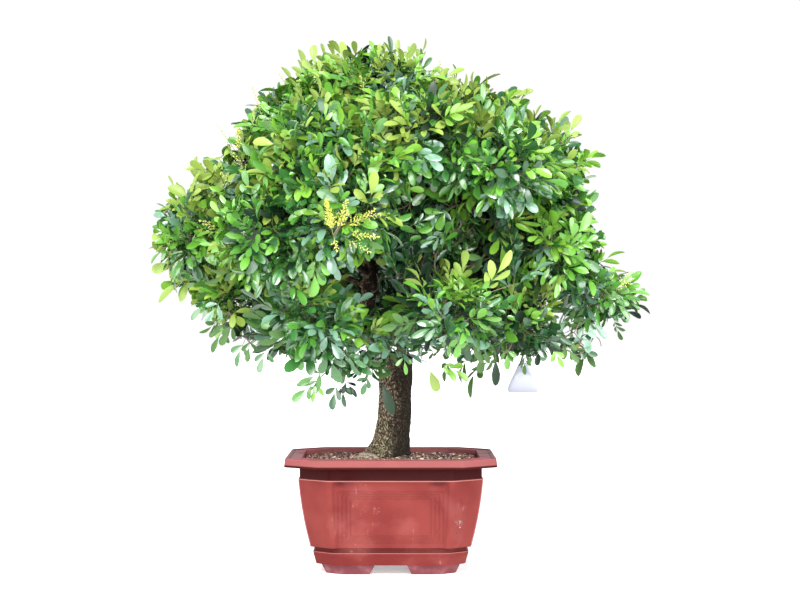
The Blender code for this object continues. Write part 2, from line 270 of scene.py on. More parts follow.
def planting_tree(name, materials):
    """Sets a shape from a collection on every point, by its own turn, size, shape and tint."""
    tree, source, sink = group(
        name,
        "GeometryNodeTree",
        (("Geometry", GEOMETRY), ("Shapes", "NodeSocketCollection"), ("Growth", FLOAT, 1.0)),
        (("Geometry", GEOMETRY),),
    )
    read = {label: stored(tree, label, kind) for label, kind in POINT_VALUES}
    shapes = node(tree, "GeometryNodeCollectionInfo", Collection=source.outputs["Shapes"])
    shapes.inputs["Separate Children"].default_value = True
    shapes.inputs["Reset Children"].default_value = True
    size = node(tree, "ShaderNodeVectorMath", {"operation": "SCALE"}, Scale=source.outputs["Growth"])
    tree.links.new(read["size"], size.inputs[0])
    planted = node(
        tree,
        "GeometryNodeInstanceOnPoints",
        Points=source.outputs["Geometry"],
        Instance=shapes.outputs[0],
        Pick_Instance=True,
        Instance_Index=read["shape"],
        Rotation=read["turn"],
        Scale=size.outputs[0],
    )
    geometry = node(tree, "GeometryNodeRealizeInstances", Geometry=planted.outputs[0]).outputs[0]
    for index, material in enumerate(materials):
        equal = {"data_type": "INT", "operation": "EQUAL"}
        chosen = node(tree, "FunctionNodeCompare", equal, i2=read["tint"], i3=index).outputs[0]
        geometry = node(
            tree,
            "GeometryNodeSetMaterial",
            Geometry=geometry,
            Selection=chosen,
            Material=material,
        ).outputs[0]
    tree.links.new(geometry, sink.inputs["Geometry"])
    return tree


print("values read from each point:", ", ".join(label for label, _ in POINT_VALUES))


# %% [markdown]
# ## Shared shader effects
# Two effects come back on several surfaces, so each is a node group with named
# sockets. Mottle blends two colours in soft clouds, and its mask alone serves for
# specks, dust and scuffs. Band marks what lies between two values, such as two heights
# on the pot. A group hands out colours and masks only, and the shader itself stays in
# the material.

# %% Build the mottle and band groups
COLOR, VECTOR = "NodeSocketColor", "NodeSocketVector"


def mottle_group():
    """Two colours blended in clouds of a given size, with a hard or a soft edge."""
    tree, source, sink = group(
        "mottle",
        "ShaderNodeTree",
        (
            ("Vector", VECTOR),
            ("Scale", FLOAT, 40.0),
            ("Detail", FLOAT, 4.0),
            ("Low", FLOAT, 0.4),
            ("High", FLOAT, 0.6),
            ("First", COLOR),
            ("Second", COLOR),
        ),
        (("Color", COLOR), ("Mask", FLOAT)),
    )
    clouds = node(
        tree,
        "ShaderNodeTexNoise",
        Vector=source.outputs["Vector"],
        Scale=source.outputs["Scale"],
        Detail=source.outputs["Detail"],
    )
    mask = node(
        tree,
        "ShaderNodeMapRange",
        {"interpolation_type": "SMOOTHSTEP"},
        Value=clouds.outputs[0],
        From_Min=source.outputs["Low"],
        From_Max=source.outputs["High"],
    )
    mixed = node(
        tree,
        "ShaderNodeMix",
        {"data_type": "RGBA"},
        i0=mask.outputs[0],
        i6=source.outputs["First"],
        i7=source.outputs["Second"],
    )
    tree.links.new(mixed.outputs[2], sink.inputs["Color"])
    tree.links.new(mask.outputs[0], sink.inputs["Mask"])
    return tree


def band_group():
    """A mask that is 1 between two values and fades out over a soft edge on both sides."""
    tree, source, sink = group(
        "band",
        "ShaderNodeTree",
        (("Value", FLOAT), ("From", FLOAT, 0.0), ("To", FLOAT, 1.0), ("Soft", FLOAT, 0.01)),
        (("Mask", FLOAT),),
    )
    value, low, high = (source.outputs[label] for label in ("Value", "From", "To"))
    rise = worked_out(tree, "SUBTRACT", value, low)
    fall = worked_out(tree, "SUBTRACT", high, value)
    near = worked_out(tree, "MINIMUM", rise, fall)
    soft = worked_out(tree, "DIVIDE", near, source.outputs["Soft"], clamp=True)
    tree.links.new(soft, sink.inputs["Mask"])
    return tree


MOTTLE, BAND = mottle_group(), band_group()


def mottle(tree, vector, scale, low, high, first, second, detail=4.0):
    """The mottle group placed in a material; its colour and its mask."""
    values = {"Vector": vector, "Scale": scale, "Detail": detail, "Low": low, "High": high}
    colors = {"First": first, "Second": second}
    placed = node(tree, "ShaderNodeGroup", {"node_tree": MOTTLE}, **values, **colors)
    return placed.outputs["Color"], placed.outputs["Mask"]


def band(tree, value, low, high, soft):
    """The band group placed in a material; its mask."""
    values = {"Value": value, "From": low, "To": high, "Soft": soft}
    return node(tree, "ShaderNodeGroup", {"node_tree": BAND}, **values).outputs["Mask"]


def specks(tree, vector, scale, low, high, detail=4.0):
    """The mask alone of the mottle group."""
    return mottle(tree, vector, scale, low, high, tone(0, 0, 0), tone(0, 0, 0), detail)[1]


def blend_colors(tree, factor, first, second):
    """One colour over another by a factor."""
    mixed = node(tree, "ShaderNodeMix", {"data_type": "RGBA"}, i0=factor, i6=first, i7=second)
    return mixed.outputs[2]


def product(tree, first, second):
    """Two masks multiplied."""
    return worked_out(tree, "MULTIPLY", first, second, clamp=True)


def mapped(tree, value, start, end, low=0.0, high=1.0):
    """A value stretched from start..end to low..high and held there."""
    return node(
        tree, "ShaderNodeMapRange", Value=value, From_Min=start, From_Max=end, To_Min=low, To_Max=high
    ).outputs[0]


def facing(tree):
    """How far the surface faces right: 1 is right, -1 is left."""
    normal = node(tree, "ShaderNodeNewGeometry").outputs["Normal"]
    return node(tree, "ShaderNodeSeparateXYZ", Vector=normal).outputs[0]


def bumped(tree, principled, height, strength, distance):
    """Feeds a height to the shader's normal through a Bump node."""
    bump = node(tree, "ShaderNodeBump", Height=height, Strength=strength, Distance=distance)
    tree.links.new(bump.outputs[0], principled.inputs["Normal"])


def place_of(tree):
    """Object coordinates and their three parts."""
    spot = node(tree, "ShaderNodeTexCoord").outputs["Object"]
    parts = node(tree, "ShaderNodeSeparateXYZ", Vector=spot)
    return spot, parts.outputs[0], parts.outputs[1], parts.outputs[2]


print("shared groups:", MOTTLE.name, BAND.name)

# %% [markdown]
# ## Trunk and limbs
# The real trunk is one skin from its flared foot to the twigs: bark runs over every
# fork without a seam. Tubes pushed into each other would show a crease there. So the
# frame's own limbs are copied, fused in one skin of small even cells, and pushed in and
# out by layered noise for ridges, pits and lumps. The depth of every pit is kept on
# the mesh, and the bark's colour reads it to paint shade into the hollows.

# %% Fuse the limbs in one skin
LIMBS = sorted(n for n in frame["nodes"] if n == "trunk" or n.startswith(("leader_", "bough_")))
SKIN_CELL = 0.0016


def fused_limbs():
    """Copies of the frame's limbs under one skin."""
    skin = bmesh.new()
    for name in LIMBS:
        skin.from_mesh(frame["nodes"][name].data)
    bmesh.ops.remove_doubles(skin, verts=skin.verts, dist=1e-5)
    mesh = bpy.data.meshes.new("limbs")
    skin.to_mesh(mesh)
    skin.free()
    obj = bpy.data.objects.new("limbs", mesh)
    bpy.context.scene.collection.objects.link(obj)
    remesh = obj.modifiers.new("skin", "REMESH")
    remesh.mode = "VOXEL"
    remesh.voxel_size = SKIN_CELL
    even = obj.modifiers.new("even", "SMOOTH")
    even.iterations = 4
    even.factor = 0.6
    evaluated = obj.evaluated_get(bpy.context.evaluated_depsgraph_get())
    result = bpy.data.meshes.new_from_object(evaluated)
    obj.modifiers.clear()
    obj.data = result
    return obj


limbs = fused_limbs()
print("skin cells:", len(limbs.data.polygons))

# %% Push the skin in and out for the bark's relief
KNOTS = (  # place, radius, depth of the hollow
    ((-0.0445, -0.0130, 0.4070), 0.0085, 0.0030),
    ((-0.0330, -0.0130, 0.2240), 0.0035, 0.0016),
    ((0.0050, -0.0240, 0.2620), 0.0050, -0.0012),
    ((-0.0200, -0.0260, 0.2080), 0.0060, -0.0014),
)
LUMPS = ((46, 0.0013), (105, 0.0006))  # scale of the noise, how far it pushes
PLATE_SCALE, PIT_SCALE = (230, 230, 150), 390
PLATE_SHARE, PIT_SHARE, ROUGH_HEIGHT = 0.55, 0.75, 0.0008
FORK_HEIGHT, LIMB_GIRTH, GIRTH_FALL = 0.30, 0.36, 6  # where the relief weakens, to what, how fast
KNOT_REACH, KNOT_PIT, KNOT_COLLAR = 2.5, 1.6, 1.3  # in radii: reach, steepness, place of the collar


def bark_relief(spot, girth):
    """How far the bark stands out at a place, and how open it is there; girth is 1 on the trunk."""
    lumps = sum(noise.noise(spot * scale) * push for scale, push in LUMPS)
    plates = noise.noise(Vector(a * b for a, b in zip(spot, PLATE_SCALE)))
    pits = noise.noise(spot * PIT_SCALE)
    rough = PLATE_SHARE * plates + PIT_SHARE * pits
    return girth * (lumps + rough * ROUGH_HEIGHT), rough


def add_relief(obj):
    """Moves every point by the bark's relief and stores how open or hollow it is."""
    mesh = obj.data
    open_bark = np.zeros(len(mesh.vertices), np.float32)
    moved = []
    for i, vertex in enumerate(mesh.vertices):
        spot = vertex.co.copy()
        above = spot.z - FORK_HEIGHT
        girth = 1.0 if above < 0 else max(LIMB_GIRTH, 1.0 - above * GIRTH_FALL)
        push, rough = bark_relief(spot, girth)
        for place, radius, depth in KNOTS:
            gap = (spot - Vector(place)).length / radius
            if gap < KNOT_REACH:
                hollow = math.exp(-(gap**2) * KNOT_PIT)
                collar = 0.5 * math.exp(-((gap - KNOT_COLLAR) ** 2) * 6)
                push += depth * (collar - hollow)
                rough -= 1.2 * hollow * (depth > 0)
        open_bark[i] = rough
        moved.append(spot + vertex.normal * push)
    mesh.vertices.foreach_set("co", np.array(moved, np.float32).ravel())
    numbers(mesh, "relief", "FLOAT", open_bark)
    mesh.shade_smooth()
    mesh.update()


add_relief(limbs)
reliefs = [item.value for item in limbs.data.attributes["relief"].data]
print("relief, deepest pit and highest plate:", round(min(reliefs), 2), round(max(reliefs), 2))

# %% [markdown]
# ## The bark's finish
# Real bark has no one colour: it is darker brown below, paler on the limbs and mossy
# near the soil. Light and shade are painted in over this: pale grains as painted light
# on the left side, painted shade on the right side and painted shade in every pit. Each
# of these is laid over the last one by a mask of its own, from height, from the side
# that the surface faces or from the stored relief.


# %% Bark
# the colour of the painted shade on the bark's right side and in its pits
BARK_SHADE = tone(22, 16, 12)


def bark_material():
    """Grey-brown bark, grainy and pitted, with moss on the foot, painted light on its left side and
    painted shade on its right side and in the relief's pits.
    """
    material, tree, principled = shader("bark", tone(96, 82, 64), 0.85, Specular_IOR_Level=0.12)
    spot, _, _, z = place_of(tree)
    relief = node(tree, "ShaderNodeAttribute", {"attribute_name": "relief"}).outputs["Fac"]
    tall = node(tree, "ShaderNodeMapping", Vector=spot, Scale=(1.0, 1.0, 0.62)).outputs[0]
    base, _ = mottle(tree, spot, 60.0, 0.38, 0.62, tone(54, 45, 35), tone(84, 72, 56))
    limb, _ = mottle(tree, spot, 60.0, 0.35, 0.65, tone(70, 54, 42), tone(128, 108, 90))
    high = band(tree, z, 0.27, 2.0, 0.06)
    color = blend_colors(tree, high, base, limb)
    moss, moss_mask = mottle(tree, spot, 400.0, 0.46, 0.54, tone(52, 64, 36), tone(84, 98, 60))
    low = band(tree, z, 0.0, 0.245, 0.08)
    patches = specks(tree, spot, 55.0, 0.42, 0.58)
    color = blend_colors(tree, product(tree, product(tree, moss_mask, low), patches), color, moss)
    grains = specks(tree, tall, 520.0, 0.50, 0.60, 2.0)
    side = facing(tree)
    # painted light: pale grains on the side that faces left
    lit_left_side = mapped(tree, side, 0.3, -0.8, 0.06, 0.86)
    # painted shade: the bark darkens the further it faces right
    color = blend_colors(tree, mapped(tree, side, -0.80, 0.45, 0.0, 0.97), color, BARK_SHADE)
    color = blend_colors(tree, product(tree, grains, lit_left_side), color, tone(176, 158, 134))
    fine_pits = specks(tree, tall, 430.0, 0.47, 0.38, 2.0)
    color = blend_colors(tree, product(tree, fine_pits, 0.85), color, tone(24, 18, 13))
    # painted shade in the pits of the stored relief
    color = blend_colors(tree, mapped(tree, relief, -0.40, -0.10, 0.85, 0.0), color, BARK_SHADE)
    tree.links.new(color, principled.inputs["Base Color"])
    grain = node(tree, "ShaderNodeTexNoise", Vector=tall, Scale=520.0, Detail=3.0)
    bumped(tree, principled, grain.outputs[0], 0.7, 0.0012)
    return material


limbs.data.materials.append(bark_material())
keep(limbs, "trunk_bark", *LIMBS)

# %% [markdown]
# ## The crown's form
# The crown is a broad dome, full on top and open beneath, with a see-through pocket
# low on its front where the boughs show. It could be filled by scattering leaves in a
# box, but then no leaf would belong to a twig. Here a smooth field is summed over the
# masses: it is high deep inside the crown and falls off through its surface, and its
# slope says which way is out. Twigs, leaves and blossom all read the same field.

# %% The masses as a smooth field
MASSES = sorted(name for name in frame["nodes"] if name.startswith("mass_"))
corners = np.array([[list(corner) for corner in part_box(name)] for name in MASSES])
CENTRES = corners.mean(axis=1)
HALVES = (corners[:, 1] - corners[:, 0]) / 2
FIELD_FALL = 1.5
TUFT_FIELD = 2.25
TIP_FIELD = 0.94
TIP_LUMPS = 0.50


def away(point, middle, halves):
    """How far a point is from a middle, squared, in half sizes; under 1 is inside."""
    return sum(((a - b) / c) ** 2 for a, b, c in zip(point, middle, halves))


def nearest_mass(point):
    """The number of the mass that a point belongs to."""
    return int((((np.asarray(point) - CENTRES) / HALVES) ** 2).sum(axis=1).argmin())


def field(point):
    """How deep a point is in the crown, about 1 on the skin of a lone mass, and the way out."""
    off = (np.asarray(point) - CENTRES) / HALVES
    share = np.exp(FIELD_FALL * (1 - (off**2).sum(axis=1)))
    out = (share[:, None] * off / HALVES).sum(axis=0)
    return share.sum(), Vector(out).normalized()


def hull_of(names):
    """The tight skin round all the named solids, to measure depth from."""
    cloud = bmesh.new()
    for name in names:
        cloud.from_mesh(frame["nodes"][name].data)
    bmesh.ops.convex_hull(cloud, input=cloud.verts)
    loose = [v for v in cloud.verts if not v.link_faces]
    bmesh.ops.delete(cloud, geom=loose, context="VERTS")
    tree = BVHTree.FromBMesh(cloud)
    cloud.free()
    return tree


CROWN_SKIN = hull_of(MASSES)
print("masses in the crown:", len(MASSES))

# %% [markdown]
# ## Where the tufts sit
# Leaves live where there is light, so nearly all of them stand in a shell under the
# crown's skin, and only a few weak ones remain inside. A jittered grid spaces the tufts
# evenly with no two in one place. A tuft is kept or dropped by its depth.

# %% Say where leaves may grow
LEAFY_SHELL = 0.095
INNER_SHARE = 0.42
GAP_FIELD = 0.75
SKIN_DEPTH, SKIN_FADE = 0.022, 0.040  # where a gap in the field starts to be closed, and over what
POCKET_MIDDLE, POCKET_HALVES = (0.094, 0.456), (0.048, 0.032)  # x and z
POCKET_BACK, POCKET_SHARE, BEHIND_POCKET = 0.03, 0.34, 2.6
LEAFY_PLACES = (  # middle, half sizes, share kept
    ((0.045, 0.110, 0.450), (0.150, 0.110, 0.120), 1.0),
    ((0.006, -0.105, 0.470), (0.056, 0.050, 0.072), 0.55),
    ((0.010, -0.060, 0.395), (0.050, 0.050, 0.035), 0.60),
    ((0.080, -0.005, 0.470), (0.105, 0.055, 0.075), 0.62),
    ((0.060, -0.115, 0.505), (0.080, 0.045, 0.030), 0.75),
    ((0.150, -0.105, 0.450), (0.032, 0.055, 0.050), 0.75),
    ((0.262, -0.020, 0.330), (0.036, 0.055, 0.030), 0.80),
    ((-0.160, -0.060, 0.326), (0.062, 0.050, 0.020), 0.60),
    ((0.120, -0.070, 0.322), (0.090, 0.050, 0.018), 0.60),
)
BARE_PLACES = (  # middle and half sizes of the hollows in the outline
    ((-0.272, 0.0, 0.655), (0.042, 0.200, 0.062)),
    ((-0.330, 0.0, 0.580), (0.040, 0.200, 0.040)),
    ((0.318, 0.0, 0.478), (0.034, 0.200, 0.044)),
)


def in_pocket(point):
    """How far a point is from the pocket's middle seen from the front, as away says it."""
    return away((point[0], point[2]), POCKET_MIDDLE, POCKET_HALVES)


def bare(point):
    """Whether a point lies in one of the hollows."""
    return any(away(point, middle, halves) < 1 for middle, halves in BARE_PLACES)


def leafy_share(point):
    """The share of tufts kept in the leafy places behind and before the boughs, or 0 outside them."""
    for middle, halves, share in LEAFY_PLACES:
        if away(point, middle, halves) < 1:
            return share
    return 0.0


def kept(point, strength, depth, chance):
    """Whether a tuft stands here: by the field, the depth and the pocket on the front."""
    if leafy_share(point) > chance:
        return True
    if bare(point):
        return False
    buried = min(1, max(0, (depth - SKIN_DEPTH) / SKIN_FADE))
    if strength < TUFT_FIELD + (GAP_FIELD - TUFT_FIELD) * buried:
        return False
    within, behind = in_pocket(point), point[1] >= POCKET_BACK
    if within < 1 and not behind:
        return chance < POCKET_SHARE
    return depth < LEAFY_SHELL or chance < INNER_SHARE or (within < BEHIND_POCKET and behind)


print("leafy places:", len(LEAFY_PLACES), "hollows:", len(BARE_PLACES))

# %% Place the tufts
SEED = 431
TUFT_SPACING, TUFT_JITTER = 0.0230, 0.45
rng = np.random.default_rng(SEED)


def place_tufts():
    """Points for the tufts of leaves, each with its mass, its depth and the way out."""
    low, high = corners[:, 0].min(axis=0), corners[:, 1].max(axis=0)
    axes = [np.arange(a, b, TUFT_SPACING) for a, b in zip(low, high)]
    grid = np.stack(np.meshgrid(*axes, indexing="ij"), axis=-1).reshape(-1, 3)
    grid = grid + rng.uniform(-TUFT_JITTER, TUFT_JITTER, grid.shape) * TUFT_SPACING
    luck = rng.random(len(grid))
    tufts = []
    for point, chance in zip(grid, luck):
        strength, out = field(point)
        if strength < GAP_FIELD and not leafy_share(point):
            continue
        depth = CROWN_SKIN.find_nearest(Vector(point))[3]
        if not kept(point, strength, depth, chance):
            continue
        tufts.append((Vector(point), nearest_mass(point), depth, out))
    return tufts


tufts = place_tufts()
print("tufts:", len(tufts))

# %% [markdown]
# ## Twigs
# Inside each mass the bough breaks up into branchlets and twigs. The rule here is
# thrift, as in a real tree: tufts are taken from the nearest to the furthest, and each
# is reached from whichever point of the growing twigs costs least in new wood and in
# distance back to the bough. Every new twig sets off in the direction of its parent and
# then bends to its tuft. Wood is then added from the tips down, so a fork is as strong
# as the twigs that it carries.

# %% Grow the twigs of a mass
TWIG_TIP = 0.00065
PIPE_POWER = 2.3
BACK_COST = 0.32
TWIG_STEPS = 3
BEND_SHARE = 0.45  # how far a twig keeps its parent's way, as a share of its span
END_SLICE, HEADING_SLICE, END_INSET = 0.004, (0.015, 0.060), 0.006
BOUGH_OF = {name: name.replace("mass_", "bough_") for name in MASSES}
BOUGH_OF.update(mass_top_left="leader_left", mass_top="leader_right", mass_back_top="leader_back")


def bough_end(mass):
    """Where the limb of a mass ends, and the way it points."""
    limb = frame["nodes"][BOUGH_OF[mass]].data
    points = np.array([v.co for v in limb.vertices])
    centre = CENTRES[MASSES.index(mass)]
    reach = np.linalg.norm(points - centre, axis=1)
    near, far = (reach.min() + slice_end for slice_end in HEADING_SLICE)
    tip = points[reach < reach.min() + END_SLICE].mean(axis=0)
    before = points[(reach > near) & (reach < far)].mean(axis=0)
    heading = Vector(tip - before).normalized()
    return Vector(tip) - heading * END_INSET, heading


def curve_point(start, bend, end, t):
    """The point at t on the curve from start to end that leans to bend."""
    return start * (1 - t) ** 2 + bend * (2 * t * (1 - t)) + end * t**2


def grow_twigs(root, heading, targets):
    """Points, the parent of each, the way it grows, and where each target ended up."""
    points, parents, ways, runs = [root], [-1], [heading], [0.0]
    landed = {}
    order = sorted(range(len(targets)), key=lambda i: (targets[i] - root).length)
    for i in order:
        target = targets[i]
        gaps = np.linalg.norm(np.array(points) - np.array(target), axis=1)
        parent = int((gaps + BACK_COST * np.array(runs)).argmin())
        start, way = points[parent], ways[parent]
        span = (target - start).length
        bend = start + way * span * BEND_SHARE
        previous = parent
        for step in range(1, TWIG_STEPS + 1):
            spot = curve_point(start, bend, target, step / TWIG_STEPS)
            ways.append((spot - points[previous]).normalized())
            runs.append(runs[previous] + (spot - points[previous]).length)
            parents.append(previous)
            points.append(spot)
            previous = len(points) - 1
        landed[i] = previous
    return points, parents, ways, landed


def thicken(parents, limit):
    """The radius at every point, added up from the tips and held under the bough's own."""
    power = np.zeros(len(parents))
    for i in range(len(parents) - 1, -1, -1):
        power[i] = max(power[i], TWIG_TIP**PIPE_POWER)
        if parents[i] >= 0:
            power[parents[i]] += power[i]
    radius = power ** (1 / PIPE_POWER)
    return np.minimum(radius, limit)


print("limbs that carry twigs:", len(set(BOUGH_OF.values())))

# %% Grow every mass's twigs
twig_points, twig_edges, twig_radii = [], [], []
TWIG_LIMIT = 0.0032


def twig_mass(index):
    """Adds the twigs of one mass to the lists and returns its tufts with their headings."""
    own = [t for t in tufts if t[1] == index]
    root, heading = bough_end(MASSES[index])
    points, parents, ways, landed = grow_twigs(root, heading, [t[0] for t in own])
    base = len(twig_points)
    twig_points.extend(points)
    twig_edges.extend((base + p, base + i) for i, p in enumerate(parents) if p >= 0)
    twig_radii.extend(thicken(parents, TWIG_LIMIT))
    return [(*tuft, ways[landed[i]]) for i, tuft in enumerate(own)]


tufts = [tuft for index in range(len(MASSES)) for tuft in twig_mass(index)]
print("twig points:", len(twig_points))

# %% [markdown]
# ## Bare branchlets
# In the open pocket on the front a few branchlets have lost their leaves and cross in
# plain view. They could be left to the growing rule, but it would hide them, so each
# is led through a few listed places and starts from the nearest wood.

# %% Lead a few bare branchlets across the pocket
BARE_BRANCHLETS = (  # radius at both ends, then x and z along the branchlet, in millimetres
    (3.0, 1.4, (25, 408), (25.4, 420.8), (31, 437.8), (36.7, 453.3), (45, 470)),
    (2.2, 1.2, (40, 404), (60.7, 416.6), (81.9, 430.7), (97.4, 436.4), (117.2, 443.4),
     (132.7, 451.9), (150, 462)),
    (1.3, 0.8, (108, 438), (114.4, 446.3), (122.9, 461.8), (132.7, 477.3), (138, 492)),
    (1.8, 0.8, (50, 436), (60.7, 454.7), (67.8, 468.9), (76.2, 481.6), (84, 500)),
    (1.3, 0.7, (60, 452), (66.4, 460.4), (81.9, 468.9), (93.2, 478.7), (108, 484)),
    (1.2, 0.8, (8, 462), (12.7, 478.7), (15.5, 501.3), (16.9, 521.1), (20, 540)),
    (2.0, 1.0, (44, 458), (48, 473), (43.8, 491.4), (52.2, 509.8), (60, 530)),
    (1.2, 0.7, (46, 470), (52, 478.7), (80.5, 497.1), (100, 508)),
)
BRANCHLET_DEPTH, BRANCHLET_SWAY = -0.060, 0.006


def nearest_wood(wood, spot):
    """The nearest of the twigs' points to a spot, and how far it is."""
    gaps = np.linalg.norm(wood - np.array(spot), axis=1)
    return Vector(wood[int(gaps.argmin())]), gaps.min()


def add_branchlet(first, last, places):
    """A branchlet through the places, joined to the nearest wood behind its foot."""
    path = [
        Vector((x * MM, BRANCHLET_DEPTH - BRANCHLET_SWAY * math.sin(x), z * MM)) for x, z in places
    ]
    path.insert(0, nearest_wood(np.array(twig_points), path[0])[0])
    base = len(twig_points)
    twig_points.extend(path)
    twig_edges.extend((base + i, base + i + 1) for i in range(len(path) - 1))
    twig_radii.extend(np.linspace(first, last, len(path)) * MM)


for first, last, *places in BARE_BRANCHLETS:
    add_branchlet(first, last, places)
print("bare branchlets:", len(BARE_BRANCHLETS))

# %% [markdown]
# ## Leaf finishes
# One tree carries many greens. Young leaves at the top are pale and matte, grown ones
# are bright and glossy, shaded ones turn bluish, and a few inside have yellowed. The
# deep finish is a darker green that also carries painted shade, and the dark finish is
# painted shade; they go mostly to sprays inside and under the crown and in its pocket.
# Patterns on tens of thousands of leaves would blur when the model leaves Blender, so
# each finish is a plain colour with its own gloss, and the variety comes from dealing
# the finishes out spray by spray.

# %% Make the leaf finishes
LEAF_FINISHES = (  # name, colour, roughness, coat
    ("leaf_shoot", (134, 160, 68), 0.46, 0.10),
    ("leaf_young", (124, 148, 60), 0.48, 0.08),
    ("leaf_olive", (118, 142, 62), 0.50, 0.08),
    ("leaf_fresh", (109, 159, 52), 0.34, 0.50),
    ("leaf_bright", (90, 148, 48), 0.30, 0.70),
    ("leaf_mid", (70, 124, 47), 0.25, 0.90),
    ("leaf_grown", (50, 102, 46), 0.22, 1.00),
    # leaf_deep is a darker green that carries painted shade, and leaf_dark is painted shade
    ("leaf_deep", (34, 76, 40), 0.28, 0.60),
    ("leaf_dark", (15, 40, 20), 0.45, 0.05),
    ("leaf_bluish", (98, 136, 112), 0.24, 0.85),
    ("leaf_back", (64, 98, 46), 0.55, 0.05),
    ("leaf_yellowed", (122, 128, 42), 0.42, 0.15),
)
TINT = {name.replace("leaf_", ""): i for i, (name, *_) in enumerate(LEAF_FINISHES)}
WAX = {"Specular_IOR_Level": 0.35, "Coat_Roughness": 0.20, "Coat_IOR": 1.6}
leaf_materials = [
    shader(name, tone(*color), roughness, Coat_Weight=coat, **WAX)[0]
    for name, color, roughness, coat in LEAF_FINISHES
]
print("leaf finishes:", ", ".join(TINT))

# %% [markdown]
# ## Leaflets
# A leaf of this tree is compound: a stalk with one leaflet at its end and one or two
# pairs below. Each leaflet is widest near its blunt tip and narrows to its foot. Six
# outlines are enough for a whole crown. Each is a single sheet, folded a little along
# its midrib and curled along its length, so that light breaks on its two halves.


# %% Shape the leaflets
LEAFLET_STATIONS = (0.12, 0.34, 0.58, 0.80, 0.945)
FOOT_TAPER, RIB_RISE = 1.35, 0.10
LEAFLET_SHAPES = (  # breadth, where it is widest, roundness of the tip, fold, curl
    (0.46, 0.68, 2.2, 0.30, 0.16),
    (0.41, 0.72, 2.4, 0.42, 0.28),
    (0.35, 0.70, 2.0, 0.22, 0.10),
    (0.46, 0.62, 1.8, 0.52, 0.22),
    (0.39, 0.60, 1.6, 0.20, 0.40),
    (0.33, 0.66, 1.7, 0.62, 0.32),
)


def leaflet(index, breadth, widest, roundness, fold, curl):
    """A leaflet one unit long, its foot at the origin, its length on Y and its face on Z."""
    vertices = [(0, 0, 0)]
    for t in LEAFLET_STATIONS:
        if t < widest:
            share = math.sin(math.pi / 2 * t / widest) ** FOOT_TAPER
        else:
            share = (1 - ((t - widest) / (1 - widest)) ** roundness) ** (1 / 2)
        half = breadth / 2 * share
        rib = -curl * t * t + RIB_RISE * curl
        vertices += [(-half, t, rib + fold * half), (0, t, rib), (half, t, rib + fold * half)]
    vertices.append((0, 1, -curl + RIB_RISE * curl))
    last = len(vertices) - 1
    faces = [(0, 2, 1), (0, 3, 2)]
    for row in range(len(LEAFLET_STATIONS) - 1):
        a = 1 + 3 * row
        faces += [(a, a + 1, a + 4, a + 3), (a + 1, a + 2, a + 5, a + 4)]
    faces += [(last - 3, last - 2, last), (last - 2, last - 1, last)]
    return mesh_object(f"leaflet_{index}", vertices, faces)


def shelf(name, objects):
    """A collection that holds shapes for a geometry tree to pick from."""
    collection = bpy.data.collections.new(name)
    bpy.context.scene.collection.children.link(collection)
    for obj in objects:
        bpy.context.scene.collection.objects.unlink(obj)
        collection.objects.link(obj)
    return collection


def clear_shelf(collection):
    """Removes a collection of shapes once nothing reads it."""
    for obj in list(collection.objects):
        bpy.data.objects.remove(obj)
    bpy.data.collections.remove(collection)


leaflet_shelf = shelf("leaflets", [leaflet(i, *values) for i, values in enumerate(LEAFLET_SHAPES)])
print("leaflet outlines:", len(LEAFLET_SHAPES))

# %% [markdown]
# ## Compound leaves
# The stalk leaves the twig at an angle, and its leaflets spread in one plane that
# turns to the light. A leaf that would reach out past the crown's outline isn't grown,
# which keeps the dome's true form without clipping any leaf in two.

# %% Set out a compound leaf
STALK_SHARE, PAIR_SHARE = 0.42, 0.34  # of the end leaflet's length
LEAF_REACH = 1 + STALK_SHARE + PAIR_SHARE
STALK_FOOT, STALK_JOINT, STALK_END = 0.00055, 0.00045, 0.00035  # radii
LEAFLET_SPREAD = (30, 52)  # degrees from the stalk
PAIR_SIZE, LOWER_PAIR_LOSS = 0.86, 0.2
leaves = []
stalk_points, stalk_edges, stalk_radii = [], [], []


def turned(along, face):
    """The rotation that lays a shape's length along one way and its face towards another."""
    side = along.cross(face).normalized()
    return Matrix((side, along, side.cross(along))).transposed().to_quaternion()


def wander(amount):
    """A small random vector."""
    return Vector(rng.uniform(-amount, amount, 3))


def add_leaf(region, foot, heading, face, length, pairs, tint):
    """Adds one compound leaf to the lists: its stalk and its leaflets."""
    side = heading.cross(face).normalized()
    face = side.cross(heading)
    base = len(stalk_points)
    stalk_points.append(foot)
    stalk_radii.append(STALK_FOOT)
    joint = foot + heading * length * STALK_SHARE
    for pair in range(pairs):
        stalk_points.append(joint)
        stalk_radii.append(STALK_JOINT)
        share = PAIR_SIZE - LOWER_PAIR_LOSS * (pairs - 1 - pair)
        for hand in (-1, 1):
            spread = math.radians(rng.uniform(*LEAFLET_SPREAD))
            way = heading * math.cos(spread) + side * hand * math.sin(spread) + wander(0.12)
            look = (face + wander(0.28)).normalized()
            size = length * share * rng.uniform(0.86, 1.08)
            shape = int(rng.integers(len(LEAFLET_SHAPES)))
            leaves.append((region, joint, turned(way.normalized(), look), size, shape, tint))
        joint = joint + (heading + wander(0.08)) * length * PAIR_SHARE
    stalk_points.append(joint)
    stalk_radii.append(STALK_END)
    stalk_edges.extend((base + i, base + i + 1) for i in range(pairs + 1))
    way = (heading + wander(0.1)).normalized()
    shape = int(rng.integers(len(LEAFLET_SHAPES)))
    leaves.append((region, joint, turned(way, (face + wander(0.22)).normalized()), length, shape, tint))


print("a leaf with one pair reaches", round(LEAF_REACH, 2), "lengths of its end leaflet")

# %% [markdown]
# ## Sprays
# Leaves stand round a twig's end in a spiral, a little over a third of a turn apart,
# and lean out from it. High on the dome the sprays stand up like little fans; on the
# sides they lie back against the crown with their faces to the light, and underneath
# they hang.

# %% Deal a finish to each spray
SPIRAL = math.radians(137.5)


def deal(weights):
    """Picks a finish by its share."""
    names = list(weights)
    shares = np.cumsum([weights[n] for n in names])
    return TINT[names[int(np.searchsorted(shares, rng.random() * shares[-1]))]]
